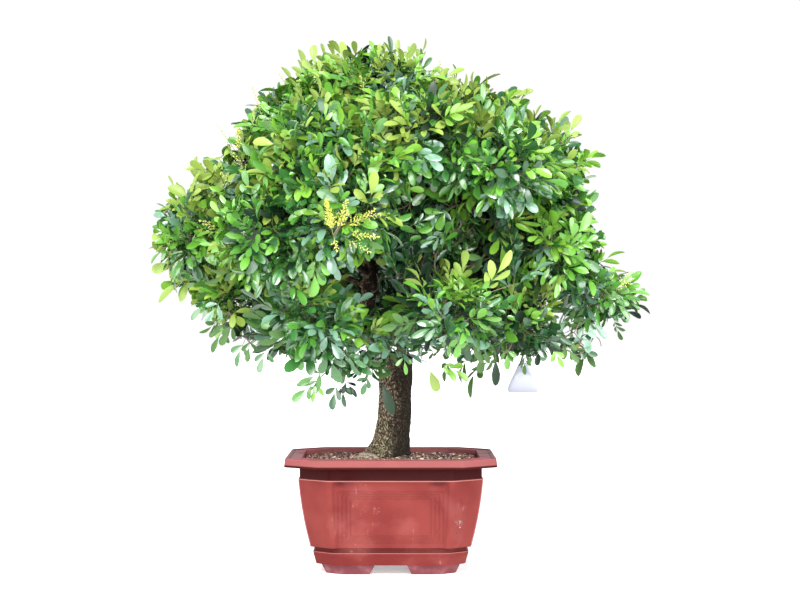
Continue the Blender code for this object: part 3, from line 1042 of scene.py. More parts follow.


# The dark and deep finishes carry painted shade; they go mostly to sprays inside, under the crown and
# in the pocket.
GREENS = {  # the share of each finish by place in the crown
    "pocket": {"grown": 3, "deep": 2, "bluish": 2, "dark": 0.8, "mid": 3, "bright": 1.6,
               "yellowed": 0.7},
    "inside": {"dark": 6, "deep": 4, "grown": 1, "bluish": 0.8, "yellowed": 0.3},
    "sheltered": {"grown": 3, "deep": 2.6, "mid": 3, "bright": 1, "bluish": 1.4, "dark": 1},
    "top": {"young": 3.4, "olive": 3.4, "shoot": 1.2, "fresh": 2.2, "bright": 1.2, "mid": 0.6},
    "far left": {"young": 3, "olive": 2.6, "shoot": 0.8, "fresh": 2.6, "bright": 2, "mid": 0.8,
                 "bluish": 0.6},
    "underneath": {"back": 3, "deep": 2.4, "grown": 2, "dark": 1.4, "bluish": 1},
    "low": {"mid": 2.2, "grown": 1.6, "deep": 1.2, "bluish": 1.8, "fresh": 2, "bright": 2.4},
    "half up": {"fresh": 3, "bright": 3, "mid": 2, "grown": 1.4, "bluish": 2.4, "young": 1,
                "deep": 0.6},
    "right": {"young": 1, "fresh": 2.2, "bright": 2.6, "mid": 3, "grown": 2.6, "bluish": 0.8,
              "deep": 1},
    "left": {"shoot": 0.7, "young": 1.8, "fresh": 3, "bright": 2.6, "mid": 1.8, "grown": 1,
             "bluish": 1},
}
LEAVES_FROM, LEAVES_RISE = 0.32, 0.44  # the height of the lowest leaves, and how far they reach up
SHELTERED_FIELD, INSIDE_FIELD = 3.0, 3.4


def light_place(point, depth, out):
    """The place of a spray by how high, how sheltered and on which side it stands."""
    height = (point.z - LEAVES_FROM) / LEAVES_RISE
    strength = field(point)[0]
    if in_pocket(point) < 1.6 and point.y < 0.16:
        return "pocket"
    deep = depth > 0.05 and (strength > INSIDE_FIELD or (depth > 0.09 and point.y > 0))
    if strength < GAP_FIELD or deep:
        return "inside"
    if strength > SHELTERED_FIELD:
        return "sheltered"
    if out.z > 0.62 or height > 0.86:
        return "top"
    if point.x < -0.22:
        return "far left"
    if height < 0.14:
        return "underneath" if out.z < -0.25 else "low"
    if height < 0.5:
        return "half up"
    return "right" if point.x > 0.03 else "left"


print("places with greens of their own:", len(GREENS))

# %% Grow the sprays
REGIONS = {  # the masses whose leaves make one piece together
    "top": ("top", "top_left", "top_right"),
    "left": ("upper_left", "left_outer", "left_lower"),
    "right": ("upper_right", "right_middle", "right_outer", "right_lower"),
    "front_left": ("front_left", "front_centre", "front_upper_left"),
    "front_right": ("front_upper", "front_upper_right", "front_lower_right"),
    "front_low": ("front_lower_left", "front_low"),
    "back_top": ("back_top", "back_centre"),
    "back_left": ("back_left", "back_lower_left"),
    "back_right": ("back_right", "back_lower_right"),
}
REGION_OF = {"mass_" + part: region for region, parts in REGIONS.items() for part in parts}
LUMP_SCALE = 24
FIRST_LEAN, NEXT_LEAN = (6, 22), (30, 62)  # degrees from the twig, for its end leaf and the others
LEAF_STEP = 0.006
SMALL_LEAF = 0.72
EDGE_ON = 0.93
ONE_PAIR_SHARE = 0.55
OUTER_LENGTHS, INNER_LENGTHS, OUTER_DEPTH = (0.022, 0.036), (0.017, 0.028), 0.035
FULL_COUNT, THIN_COUNT, FULL_DEPTH = 4, 3, 0.06


def add_spray(region, foot, heading, out, length, count, tint):
    """Leaves in a spiral round the end of a twig, kept inside a lumpy outline of the crown."""
    side = heading.orthogonal().normalized()
    limit = TIP_FIELD + TIP_LUMPS * noise.noise(foot * LUMP_SCALE)
    angle = rng.uniform(0, 2 * math.pi)
    for i in range(count):
        angle += SPIRAL + rng.uniform(-0.3, 0.3)
        lean = math.radians(rng.uniform(*(NEXT_LEAN if i else FIRST_LEAN)))
        around = Quaternion(heading, angle) @ side
        way = (heading * math.cos(lean) + around * math.sin(lean)).normalized()
        size = length * rng.uniform(0.82, 1.15)
        spot = foot - heading * (LEAF_STEP * i)
        tip = spot + way * size * LEAF_REACH
        if bare(tip):
            continue
        if field(tip)[0] < limit and not leafy_share(tip):
            size *= SMALL_LEAF
            tip = spot + way * size * LEAF_REACH
            if field(tip)[0] < limit:
                continue
        look = out * 0.75 + UP * 0.55 + wander(0.45)
        if abs(look.normalized().dot(way)) > EDGE_ON:
            look = look + around
        pairs = 1 if rng.random() < ONE_PAIR_SHARE else 2
        add_leaf(region, spot, way, look, size, pairs, tint)


for point, owner, depth, out, way in tufts:
    rise = 0.6 if out.z > -0.2 else -0.1
    heading = (out * 0.75 + UP * rise + way * 0.45 + wander(0.3)).normalized()
    length = rng.uniform(*(OUTER_LENGTHS if depth < OUTER_DEPTH else INNER_LENGTHS))
    count = FULL_COUNT if depth < FULL_DEPTH else THIN_COUNT
    tint = deal(GREENS[light_place(point, depth, out)])
    add_spray(REGION_OF[MASSES[owner]], point, heading, out, length, count, tint)
print("leaflets in the sprays:", len(leaves))

# %% [markdown]
# ## Shoots that break the outline
# A clipped crown is a smooth dome, and this one isn't: in each season some shoots run
# ahead of the rest, stand up like ears on top, reach out at the tips of the lowest
# boughs or hang below. The known ones are listed by foot and tip, and a few more grow
# at random all round, so that no side is smooth. Each hangs on a twig of its own that
# starts from the nearest wood.

# %% List the known shoots
SHOOTS = (  # foot x and z, tip x and z, depth y in millimetres, pairs of leaflets, finish
    (-269, 520, -295, 587, -30, 1, "olive"), (-266, 523, -266, 582, -30, 1, "young"),
    (-278, 514, -329, 554, -30, 1, "olive"), (-280, 509, -344, 525, -20, 1, "olive"),
    (-276, 501, -345, 501, -20, 1, "young"), (-254, 527, -245, 588, -40, 1, "olive"),
    (-293, 443, -358, 435, -20, 1, "olive"), (-286, 424, -348, 393, -30, 1, "olive"),
    (-303, 475, -355, 475, -10, 1, "young"), (-264, 388, -299, 363, -40, 1, "grown"),
    (-251, 391, -275, 356, -60, 1, "bluish"), (-245, 363, -269, 314, -40, 2, "back"),
    (-234, 360, -253, 323, -50, 1, "back"), (-218, 335, -234, 295, -60, 1, "grown"),
    (-211, 338, -214, 301, -70, 1, "back"), (-185, 325, -196, 286, -80, 1, "grown"),
    (-108, 283, -148, 247, -100, 2, "mid"), (-114, 277, -122, 247, -100, 1, "fresh"),
    (-102, 292, -138, 271, -110, 1, "mid"), (-86, 277, -96, 237, -100, 1, "deep"),
    (-82, 277, -76, 240, -100, 1, "deep"), (-80, 280, -60, 255, -100, 1, "dark"),
    (-44, 289, -52, 257, -110, 1, "grown"), (-33, 292, -8, 232, -110, 0, "dark"),
    (-73, 700, -84, 759, -30, 1, "young"), (-55, 699, -30, 754, -20, 1, "olive"),
    (-119, 693, -125, 754, -20, 2, "olive"), (3, 711, -4, 762, -20, 2, "olive"),
    (49, 695, 90, 722, -30, 1, "olive"), (22, 705, 45, 736, -20, 1, "grown"),
    (147, 670, 189, 690, -30, 1, "olive"), (215, 620, 238, 662, -30, 1, "olive"),
    (233, 613, 260, 653, -20, 1, "young"), (246, 577, 282, 603, -30, 1, "fresh"),
    (250, 525, 282, 547, -20, 1, "mid"), (253, 486, 295, 478, -20, 1, "grown"),
    (243, 497, 278, 507, -30, 1, "young"), (290, 394, 306, 436, -20, 1, "fresh"),
    (296, 397, 338, 426, -20, 1, "bright"), (299, 393, 358, 401, -20, 2, "bright"),
    (296, 386, 345, 377, -20, 1, "mid"), (289, 380, 329, 361, -30, 1, "grown"),
    (256, 357, 271, 314, -40, 1, "bluish"), (266, 360, 296, 334, -30, 1, "bluish"),
    (227, 334, 251, 299, -50, 1, "back"), (215, 323, 230, 294, -60, 1, "fresh"),
    (197, 329, 193, 296, -70, 1, "dark"), (148, 327, 150, 292, -90, 1, "bright"),
    (115, 330, 112, 287, -100, 1, "back"), (133, 322, 130, 270, -100, 0, "dark"),
    (100, 324, 79, 304, -100, 1, "deep"), (105, 322, 98, 302, -100, 0, "deep"),
    (52, 303, 95, 280, -120, 2, "fresh"), (36, 303, 54, 263, -110, 0, "olive"),
    (5, 317, 8, 286, -120, 1, "bright"),
)
print("known shoots:", len(SHOOTS))

# %% Grow the long shoots
OTHER_SHOOTS, SHOOT_REACH, SHOOT_DEPTH = 230, 0.004, 0.034
SHOOT_STEPS, SHOOT_SAG, SHOOT_RADIUS, SHOOT_TAPER = 3, 0.06, 0.0011, 0.0005
wood = np.array(twig_points)


def add_shoot_twig(foot):
    """A thin twig that bends from the nearest wood to a foot."""
    start, gap = nearest_wood(wood, foot)
    bend = start.lerp(foot, 0.5) + Vector((0, 0, -SHOOT_SAG * gap))
    base = len(twig_points)
    for step in range(SHOOT_STEPS + 1):
        t = step / SHOOT_STEPS
        twig_points.append(curve_point(start, bend, foot, t))
        twig_radii.append(SHOOT_RADIUS - SHOOT_TAPER * t)
    twig_edges.extend((base + i, base + i + 1) for i in range(SHOOT_STEPS))


def add_shoot(foot, tip, pairs, finish, look):
    """One long leaf from foot to tip on its own twig."""
    add_shoot_twig(foot)
    reach = (tip - foot).length
    length = reach / (1 + STALK_SHARE + PAIR_SHARE * pairs)
    region = REGION_OF[MASSES[nearest_mass(foot)]]
    add_leaf(region, foot, (tip - foot).normalized(), look, length, pairs, TINT[finish])


for x0, z0, x1, z1, y, pairs, finish in SHOOTS:
    foot, tip = Vector((x0, y, z0)) * MM, Vector((x1, y - 6, z1)) * MM
    look = Vector((0, -1, 0.45)) + wander(0.35) if pairs else Vector((-0.1, -0.8, 0.6))
    add_shoot(foot, tip, pairs, finish, look)
outer = [tuft for tuft in tufts if tuft[2] < SHOOT_DEPTH]
for index in rng.choice(len(outer), OTHER_SHOOTS, replace=False):
    point, owner, depth, out, way = outer[index]
    heading = (out + UP * 0.3 + wander(0.35)).normalized()
    foot = point + heading * rng.uniform(0.004, 0.012)
    tip = foot + heading * rng.uniform(0.035, 0.058)
    if any(v < a - SHOOT_REACH or v > b + SHOOT_REACH for v, a, b in zip(tip, *frame_box)):
        continue
    finish = "olive" if out.z > 0.4 else ("back" if out.z < -0.3 else "fresh")
    pairs = int(rng.integers(1, 3))
    add_shoot(foot, tip, pairs, finish, heading.orthogonal() + wander(0.4) + UP * 0.4)
print("leaflets with the shoots:", len(leaves))

# %% [markdown]
# ## Blossom
# The flowers are yellow beads the size of a grain of millet, on loose branched
# panicles. Old panicles have paled to cream. A bead is too small to model as a flower
# and stays a small ball. A panicle is an axis with side branches that shorten towards
# its tip, with beads along them.

# %% Set out the panicles
beads = []
stem_points, stem_edges, stem_radii = [], [], []
BEAD_FINISHES = (  # name, colour, roughness
    ("blossom_yellow", (200, 206, 84), 0.5),
    ("blossom_lemon", (186, 202, 104), 0.5),
    ("blossom_cream", (204, 200, 158), 0.6),
)
BEAD_GAP = 0.0026
BEAD_SIZES, END_BEAD_SIZES, END_BEADS = (0.0014, 0.0021), (0.0013, 0.0018), 3
STEM_RADII = (0.00035, 0.00022)
FIRST_BRANCH, BRANCH_SPAN, BRANCH_LEAN = 0.18, 0.82, (38, 62)


def add_stem(start, end):
    """A thin straight stem."""
    stem_edges.append((len(stem_points), len(stem_points) + 1))
    stem_points.extend((start, end))
    stem_radii.extend(STEM_RADII)


def add_panicle(foot, heading, length, spread, branches, tint):
    """An axis with side branches, each with a few beads."""
    tip = foot + heading * length
    add_stem(foot, tip)
    side = heading.orthogonal().normalized()
    angle = rng.uniform(0, 6.28)
    for i in range(branches):
        t = FIRST_BRANCH + BRANCH_SPAN * i / branches
        angle += SPIRAL
        start = foot.lerp(tip, t)
        lean = math.radians(rng.uniform(*BRANCH_LEAN))
        way = heading * math.cos(lean) + (Quaternion(heading, angle) @ side) * math.sin(lean)
        reach = spread * (1.15 - t) * rng.uniform(0.7, 1.2)
        end = start + way * reach
        add_stem(start, end)
        for k in range(max(2, int(reach / BEAD_GAP))):
            spot = start.lerp(end, (k + 1.2) / (reach / BEAD_GAP + 1)) + wander(0.0009)
            beads.append((spot, rng.uniform(*BEAD_SIZES), tint))
    beads.extend((tip + wander(0.0008), rng.uniform(*END_BEAD_SIZES), tint) for _ in range(END_BEADS))


PANICLES = (  # foot, heading, length, spread, branches, finish
    ((-85, -284, 470), (-0.18, -0.25, 1), 46, 14, 64, 0),
    ((-82, -280, 476), (0.55, -0.3, 0.8), 30, 12, 20, 0),
    ((-72, -276, 478), (0.9, -0.2, 0.55), 48, 13, 24, 0),
    ((-70, -278, 472), (0.9, -0.3, -0.1), 46, 12, 20, 0),
    ((-78, -282, 482), (0.30, -0.3, 0.9), 36, 13, 22, 0),
    ((-70, -280, 466), (0.8, -0.3, -0.45), 40, 11, 16, 1),
    ((-66, -276, 486), (0.95, -0.2, 0.25), 44, 12, 18, 1),
    ((-84, -280, 468), (0.15, -0.5, -0.7), 24, 10, 10, 0),
    ((-212, -90, 560), (-0.4, -0.4, 0.7), 40, 12, 12, 1),
    ((-232, -60, 598), (-0.55, -0.1, 0.8), 46, 11, 14, 2),
    ((-196, -60, 650), (-0.3, -0.1, 1), 42, 10, 13, 2),
    ((-232, -100, 545), (-0.3, -0.6, 0.4), 34, 11, 10, 1),
    ((-48, -90, 672), (-0.2, -0.5, 0.7), 32, 10, 10, 0),
    ((168, -110, 600), (0.2, -0.7, 0.6), 34, 11, 12, 0),
    ((158, -120, 590), (-0.3, -0.7, 0.5), 26, 9, 8, 1),
    ((-26, -20, 715), (-0.1, 0, 1), 30, 9, 8, 2),
    ((26, -10, 712), (0.15, 0, 1), 32, 10, 9, 2),
    ((52, -20, 700), (0.2, 0, 1), 34, 9, 8, 2),
    ((130, -20, 660), (0.3, -0.1, 1), 26, 8, 7, 2),
    ((-250, -110, 485), (-0.6, -0.5, 0.3), 34, 12, 12, 1),
    ((-150, -130, 335), (0.3, -0.5, -0.5), 30, 9, 8, 1),
    ((-222, -112, 590), (0, -0.5, 0.8), 38, 12, 26, 0),
)
OTHER_PANICLES = 34
for foot, heading, length, spread, branches, tint in PANICLES:
    foot, heading = Vector(foot) * MM, Vector(heading).normalized()
    add_shoot_twig(foot)
    add_panicle(foot, heading, length * MM, spread * MM, branches, tint)
high = [tuft for tuft in tufts if tuft[2] < 0.04 and tuft[3].z > -0.1 and tuft[0].y > -0.05]
for index in rng.choice(len(high), OTHER_PANICLES, replace=False):
    point, owner, depth, out, way = high[index]
    heading = (out + UP * 0.4 + wander(0.3)).normalized()
    tint = int(rng.choice(3, p=(0.4, 0.3, 0.3)))
    length, spread = rng.uniform(0.034, 0.052), rng.uniform(0.008, 0.013)
    add_panicle(point, heading, length, spread, int(rng.integers(8, 15)), tint)
print("beads of blossom:", len(beads))

# %% [markdown]
# ## From lists to pieces
# So far leaves, beads and twigs are only places, turns and sizes in lists. Points that
# carry these values are handed to the geometry trees, which set a shape on every point
# or sweep a tube along every edge. The leaves come out as one piece for each region of
# the crown, and each piece replaces the masses of its region.

# %% Turn the lists into joined pieces of leaves
def plant(name, tree, shapes, places, *values):
    """A shape on every place, by the turn, size, shape and tint of each, as one object."""
    points = mesh_object("points", places)
    for (label, kind), column in zip(POINT_VALUES, values):
        numbers(points.data, label, kind, column)
    return grown(points, tree, name, Shapes=shapes)


leaf_tree = planting_tree("leaves_on_points", leaf_materials)
for region in sorted(set(REGION_OF.values())):
    own = [leaf[1:] for leaf in leaves if leaf[0] == region]
    places, turns, sizes, shapes, tints = zip(*own)
    sizes = [[size] * 3 for size in sizes]
    piece = plant(f"leaves_{region}", leaf_tree, leaflet_shelf, places, turns, sizes, shapes, tints)
    keep(piece, "foliage", *(mass for mass, name in REGION_OF.items() if name == region))
clear_shelf(leaflet_shelf)

# %% Turn the beads into a piece of blossom
def small_ball(name, shaped=None):
    """A faceted ball of unit size; each of its points may be reshaped."""
    shape = bmesh.new()
    bmesh.ops.create_icosphere(shape, subdivisions=1, radius=0.5)
    for vertex in shape.verts if shaped else ():
        shaped(vertex)
    mesh = bpy.data.meshes.new(name)
    shape.to_mesh(mesh)
    shape.free()
    obj = bpy.data.objects.new(name, mesh)
    bpy.context.scene.collection.objects.link(obj)
    return obj


bead_object = small_ball("bead")
bead_object.data.shade_smooth()
bead_shelf = shelf("beads", [bead_object])
bead_materials = [shader(name, tone(*color), roughness)[0] for name, color, roughness in BEAD_FINISHES]
places, sizes, tints = zip(*beads)
blossom = plant(
    "blossom",
    planting_tree("beads_on_points", bead_materials),
    bead_shelf,
    places,
    [(1, 0, 0, 0)] * len(beads),
    [[size] * 3 for size in sizes],
    [0] * len(beads),
    tints,
)
keep(blossom, "foliage")
clear_shelf(bead_shelf)

# %% Turn the twigs, stalks and stems into tubes
twig_bark = shader("twig_bark", tone(112, 98, 82), 0.8)[0]
stalk_green = shader("leaf_stalk", tone(92, 128, 50), 0.5)[0]
stem_green = shader("blossom_stem", tone(168, 164, 104), 0.6)[0]
for name, points, edges, radii, material, slot, sides in (
    ("twigs", twig_points, twig_edges, twig_radii, twig_bark, "limb_bark", 4),
    ("leaf_stalks", stalk_points, stalk_edges, stalk_radii, stalk_green, "foliage", 3),
    ("blossom_stems", stem_points, stem_edges, stem_radii, stem_green, "foliage", 3),
):
    skeleton = mesh_object(name, points, edges=edges)
    numbers(skeleton.data, "thickness", "FLOAT", radii)
    keep(grown(skeleton, tube_tree(material), name, Sides=sides), slot)

# %% [markdown]
# ## The pot
# A moulded plastic training pot: rectangular with slanted corners, a folded lip, a
# shaded neck, a curved body with sunk panels, a grooved foot band and four feet. Its
# wall follows one rule at every height, a rectangle with cut corners, so it is lofted
# ring by ring. Every edge of the real mould is a little round, and so each corner of
# the ring and of the profile is replaced by a short arc.

# %% Sizes of the pot
POT_X = -0.0130
CUT_SHAPE = 0.70
WALL = 0.0030
FOOT_BOTTOM, FOOT_TOP = (0.0920, 0.0560, 0.022), (0.0990, 0.0620, 0.024)
BAND_BOTTOM, BAND_TOP = (0.1060, 0.0670, 0.027), (0.1105, 0.0705, 0.029)
BODY_BOTTOM, BODY_MIDDLE = (0.1140, 0.0735, 0.030), (0.1268, 0.0862, 0.039)
BODY_TOP = (0.1310, 0.0905, 0.043)
RIM = (0.1500, 0.1100, 0.048)
FOOT_HEIGHT, GROOVE_LOW, GROOVE_HIGH, GROOVE_DEPTH = 0.0145, 0.0325, 0.0390, 0.0025
MIDDLE_HEIGHT, LEDGE_HEIGHT, NECK_INSET = 0.1000, 0.1360, 0.0020
RIM_BOTTOM, RIM_TOP, RIM_TAPER = 0.1535, 0.1660, 0.0015
LIP_WIDTH, LIP_STEP, LIP_GROOVE = 0.0057, 0.0013, 0.0024
SINK, POST_WIDTH, SINK_EDGE = 0.0036, 0.0062, 0.0036


def inset(section, distance):
    """A section moved in by a distance on every side, slanted corners included."""
    width, depth, cut = section
    shorten = distance * (1 + CUT_SHAPE - math.hypot(1, CUT_SHAPE)) / CUT_SHAPE
    return (width - distance, depth - distance, cut - shorten)


def corners_of(section):
    """The eight corners of a section, from the front's left end round to the right."""
    width, depth, cut = section
    slant = cut * CUT_SHAPE
    right = [(width - cut, -depth), (width, -depth + slant)]
    right += [(x, -y) for x, y in reversed(right)]
    left = [(-x, y) for x, y in reversed(right)]
    return [Vector((x + POT_X, y)) for x, y in (left[-1], *right, *left[:-1])]


def soft_profile(points, radius):
    """A profile with each inner corner replaced by a short arc of three points."""
    points = [np.array(p, float) for p in points]
    out = [points[0]]
    for before, here, after in zip(points, points[1:], points[2:]):
        start = here + (before - here) * min(0.45, radius / np.linalg.norm((before - here)))
        end = here + (after - here) * min(0.45, radius / np.linalg.norm((after - here)))
        out += [start, (start + 2 * here + end) / 4, end]
    return [*out, points[-1]]


print("pot over the rim in metres:", [2 * half for half in RIM[:2]], "height:", RIM_TOP)

# %% Loft the wall
CORNER_ARC = 0.0022
PROFILE_ARC = 0.0010
SINK_STEPS = (  # distance from the corner, share of the sink
    (POST_WIDTH, 0.0),
    (POST_WIDTH + 0.3 * SINK_EDGE, 0.2),
    (POST_WIDTH + 0.7 * SINK_EDGE, 0.85),
    (POST_WIDTH + SINK_EDGE, 1.0),
)
BODY_ROWS = (  # share of the body's height, share of the sink
    (0.035, 1), (0.2, 1), (0.4, 1), (0.6, 1), (0.78, 1), (0.91, 1), (0.95, 0.75), (0.985, 0.15),
)


def ring(section, height, sunk):
    """One ring of the wall: flat sides that may sink between their posts, and round corners."""
    corners = corners_of(section)
    points = []
    for side in range(8):
        start, end, after = corners[side], corners[(side + 1) % 8], corners[(side + 2) % 8]
        along = (end - start).normalized()
        length = (end - start).length
        inward = Vector((-along.y, along.x))
        steps = [(CORNER_ARC, 0.0)]
        if side % 2 == 0:
            steps += [*SINK_STEPS, (length / 2, 1.0)]
            steps += [(length - distance, share) for distance, share in reversed(SINK_STEPS)]
        steps.append((length - CORNER_ARC, 0.0))
        points += [start + along * distance + inward * share * sunk for distance, share in steps]
        turn = (after - end).normalized()
        points.append((end - along * CORNER_ARC) * 0.25 + end * 0.5 + (end + turn * CORNER_ARC) * 0.25)
    return [(p.x, p.y, height) for p in points]


def body_section(height):
    """The body's section at a height, on a smooth curve through its three sizes."""
    t = (height - GROOVE_HIGH) / (LEDGE_HEIGHT - GROOVE_HIGH)
    m = (MIDDLE_HEIGHT - GROOVE_HIGH) / (LEDGE_HEIGHT - GROOVE_HIGH)
    shares = ((t - m) * (t - 1) / m, t * (t - 1) / (m * (m - 1)), t * (t - m) / (1 - m))
    sections = (BODY_BOTTOM, BODY_MIDDLE, BODY_TOP)
    return tuple(sum(share * section[i] for share, section in zip(shares, sections)) for i in range(3))


def pot_rows():
    """Rows of (half width, half depth, cut, height, sink) from under the pot, up and back in."""
    neck = inset(BODY_TOP, NECK_INSET)
    low = inset(BAND_TOP, GROOVE_DEPTH)
    heights = [GROOVE_HIGH + (LEDGE_HEIGHT - GROOVE_HIGH) * t for t, _ in BODY_ROWS]
    body = [(*body_section(z), z, SINK * sink) for z, (_, sink) in zip(heights, BODY_ROWS)]
    inner = inset(BODY_TOP, WALL + NECK_INSET)
    rows = [
        (*inset(BAND_BOTTOM, 0.006), FOOT_HEIGHT, 0),
        (*BAND_BOTTOM, FOOT_HEIGHT, 0),
        (*BAND_TOP, GROOVE_LOW, 0),
        (*low, GROOVE_LOW, 0),
        (*low, GROOVE_HIGH, 0),
        (*BODY_BOTTOM, GROOVE_HIGH, SINK),
        *body,
        (*BODY_TOP, LEDGE_HEIGHT, 0),
        (*neck, LEDGE_HEIGHT, 0),
        (*neck, RIM_TOP - WALL, 0),
        (*inset(RIM, WALL + RIM_TAPER), RIM_TOP - WALL, 0),
        (*inset(RIM, WALL), RIM_BOTTOM, 0),
        (*RIM, RIM_BOTTOM, 0),
        (*inset(RIM, RIM_TAPER), RIM_TOP, 0),
        (*inset(RIM, LIP_WIDTH - 0.0008), RIM_TOP, 0),
        (*inset(RIM, LIP_WIDTH), RIM_TOP - LIP_STEP, 0),
        (*inset(RIM, LIP_WIDTH + LIP_GROOVE), RIM_TOP - LIP_STEP, 0),
        (*inset(inner, -0.0016), RIM_TOP - LIP_STEP, 0),
        (*inset(inner, -0.0010), RIM_TOP - 0.0002, 0),
        (*inner, RIM_TOP - 0.0004, 0),
        (*inner, LEDGE_HEIGHT, 0),
        (*inset(BODY_MIDDLE, WALL + NECK_INSET), MIDDLE_HEIGHT, 0),
        (*inset(BODY_BOTTOM, WALL), GROOVE_HIGH + 2 * WALL, 0),
        (*inset(BAND_BOTTOM, WALL), FOOT_HEIGHT + WALL, 0),
    ]
    return soft_profile(rows, PROFILE_ARC)


def step_row(rows, reach):
    """The row at the foot of the lip's step that lies this far in from the rim."""
    foot = (RIM[0] - reach, RIM_TOP - LIP_STEP)
    return min(range(len(rows)), key=lambda i: math.dist((rows[i][0], rows[i][3]), foot))


def wall_mesh():
    """Vertices and faces of the closed wall, and which vertices lie under the lip's step."""
    rows = pot_rows()
    first, last = step_row(rows, LIP_WIDTH), step_row(rows, LIP_WIDTH + LIP_GROOVE)
    rings = [ring(row[:3], row[3], row[4]) for row in rows]
    count = len(rings[0])
    vertices = [point for points in rings for point in points]
    faces = bridged(len(rings), count)
    for row, turn in ((0, -1), (len(rings) - 1, 1)):
        faces.append(tuple(row * count + i for i in range(count))[::turn])
    return vertices, faces, range(first * count, (last + 1) * count)


pot_vertices, pot_faces, step_points = wall_mesh()
print("pot wall faces:", len(pot_faces))

# %% [markdown]
# ## The pot's feet
# The mould ends in four feet, each a corner of the pot's own section with a hollow
# behind it. One outline is worked out for the front right foot. The others are its
# mirror images, with their faces turned round where one mirror is used alone.

# %% Feet
FOOT_WIDTH, FOOT_GAP_X, FOOT_GAP_Y, FOOT_SPLAY = 0.026, 0.022, 0.017, 0.007
FOOT_BEVEL, FOOT_BEVEL_HEIGHT, FOOT_OVERLAP = 0.0008, 0.0012, 0.0006


def foot_outline(section, gap_x, gap_y):
    """The outline of the front right foot: a corner of the section, hollow behind."""
    width, depth, cut = section
    slant = cut * CUT_SHAPE
    inner_x, inner_y = width - FOOT_WIDTH, depth - FOOT_WIDTH
    return [(gap_x, -depth), (width - cut, -depth), (width, -depth + slant), (width, -gap_y),
            (inner_x, -gap_y), (inner_x, -inner_y), (gap_x, -inner_y)]


def foot_shape(hand_x, hand_y):
    """Vertices and faces of one foot, mirrored to its corner."""
    levels = (
        (0.0, FOOT_BOTTOM, FOOT_SPLAY + FOOT_BEVEL),
        (FOOT_BEVEL_HEIGHT, inset(FOOT_BOTTOM, -FOOT_BEVEL), FOOT_SPLAY),
        (FOOT_HEIGHT + FOOT_OVERLAP, FOOT_TOP, 0.0),
    )
    vertices = []
    for height, section, splay in levels:
        outline = foot_outline(section, FOOT_GAP_X + splay, FOOT_GAP_Y + splay)
        vertices += [(POT_X + x * hand_x, y * hand_y, height) for x, y in outline]
    count = len(vertices) // len(levels)
    faces = bridged(len(levels), count)
    faces += [tuple(range(count))[::-1], tuple(range((len(levels) - 1) * count, len(vertices)))]
    if hand_x * hand_y < 0:
        faces = [face[::-1] for face in faces]
    return vertices, faces


foot_parts = [foot_shape(hand_x, hand_y) for hand_x in (-1, 1) for hand_y in (-1, 1)]
print("feet:", len(foot_parts), "with", len(foot_parts[0][1]), "faces each")

# %% [markdown]
# ## The pot's relief
# The long panels carry a traditional fret, concentric lines with square spirals in
# the corners, and the foot band has a fine wavy line. They are raised only half a
# millimetre. A bump in the shader would be lost on the outline and in other programs,
# so each line is a thin strip of geometry that follows the wall.

# %% Lay raised lines on the wall
LINE_WIDTH, LINE_HEIGHT, LINE_ROOT, LINE_CROWN = 0.0011, 0.00045, 0.0004, 0.55
LINE_STEP = 0.008


def wall_depth(height):
    """The body's half depth at a height, with its panel sunk."""
    return body_section(height)[1] - SINK


def strip(path, normals):
    """A raised line along a path on the wall: four points at every step."""
    vertices, faces = [], []
    for i, (spot, out) in enumerate(zip(path, normals)):
        ahead = path[min(i + 1, len(path) - 1)] - path[max(i - 1, 0)]
        across = ahead.cross(out).normalized() * LINE_WIDTH / 2
        low, high = spot - out * LINE_ROOT, spot + out * LINE_HEIGHT
        crown = across * LINE_CROWN
        vertices += [low - across, high - crown, high + crown, low + across]
    for i in range(len(path) - 1):
        a, b = 4 * i, 4 * i + 4
        faces += [(a + k, b + k, b + (k + 1) % 4, a + (k + 1) % 4) for k in range(4)]
    faces += [(3, 2, 1, 0), tuple(len(vertices) - 4 + k for k in range(4))]
    return vertices, faces


def panel_strip(x0, z0, x1, z1, front):
    """A straight line on the front or back panel, split so that it follows the curve."""
    count = max(2, int(abs(z1 - z0) / LINE_STEP) + 2)
    path = []
    for i in range(count):
        t = i / (count - 1)
        height = z0 + (z1 - z0) * t
        path.append(Vector((POT_X + x0 + (x1 - x0) * t, -front * wall_depth(height), height)))
    return strip(path, [Vector((0, -front, -0.12)).normalized()] * count)


FRET_X = (0.0735, 0.0677, 0.0618, 0.0560)
FRET_LOW = (0.0474, 0.0507, 0.0540, 0.0572)
FRET_HIGH = (0.1204, 0.1171, 0.1138, 0.1105)
FRET_STEP, FRET_SHORT = 0.004, 0.008  # how far the inner lines stop short of the corners
SPIRAL_RISE, SPIRAL_INNER, SPIRAL_END = 0.012, 0.0035, 0.0033
WAVE_HEIGHT, WAVE_RISE, WAVE_LENGTH, WAVE_STEP = 0.0272, 0.0011, 0.0092, 0.0024


def fret_lines():
    """The straight lines of the fret as pairs of ends on the panel."""
    lines = []
    for k in range(4):
        reach = FRET_X[3] - FRET_STEP if k in (1, 2) else FRET_X[k]
        lines += [(-reach, level[k], reach, level[k]) for level in (FRET_LOW, FRET_HIGH)]
        low = FRET_LOW[3] + FRET_SHORT if k in (1, 2) else FRET_LOW[k]
        high = FRET_HIGH[3] - FRET_SHORT if k in (1, 2) else FRET_HIGH[k]
        lines += [(hand * FRET_X[k], low, hand * FRET_X[k], high) for hand in (-1, 1)]
    for hand in (-1, 1):
        for z, rise in ((FRET_LOW[1], 1), (FRET_HIGH[1], -1)):
            a, b, c = (hand * FRET_X[i] for i in (1, 2, 3))
            d = hand * (FRET_X[3] - FRET_STEP)
            far, near, end = (z + rise * reach for reach in (SPIRAL_RISE, SPIRAL_INNER, SPIRAL_END))
            lines += [(a, z, a, far), (a, z, c, z), (a, far, b, far), (b, far, b, near)]
            lines += [(c, z, c, near), (d, z, d, end)]
    return lines


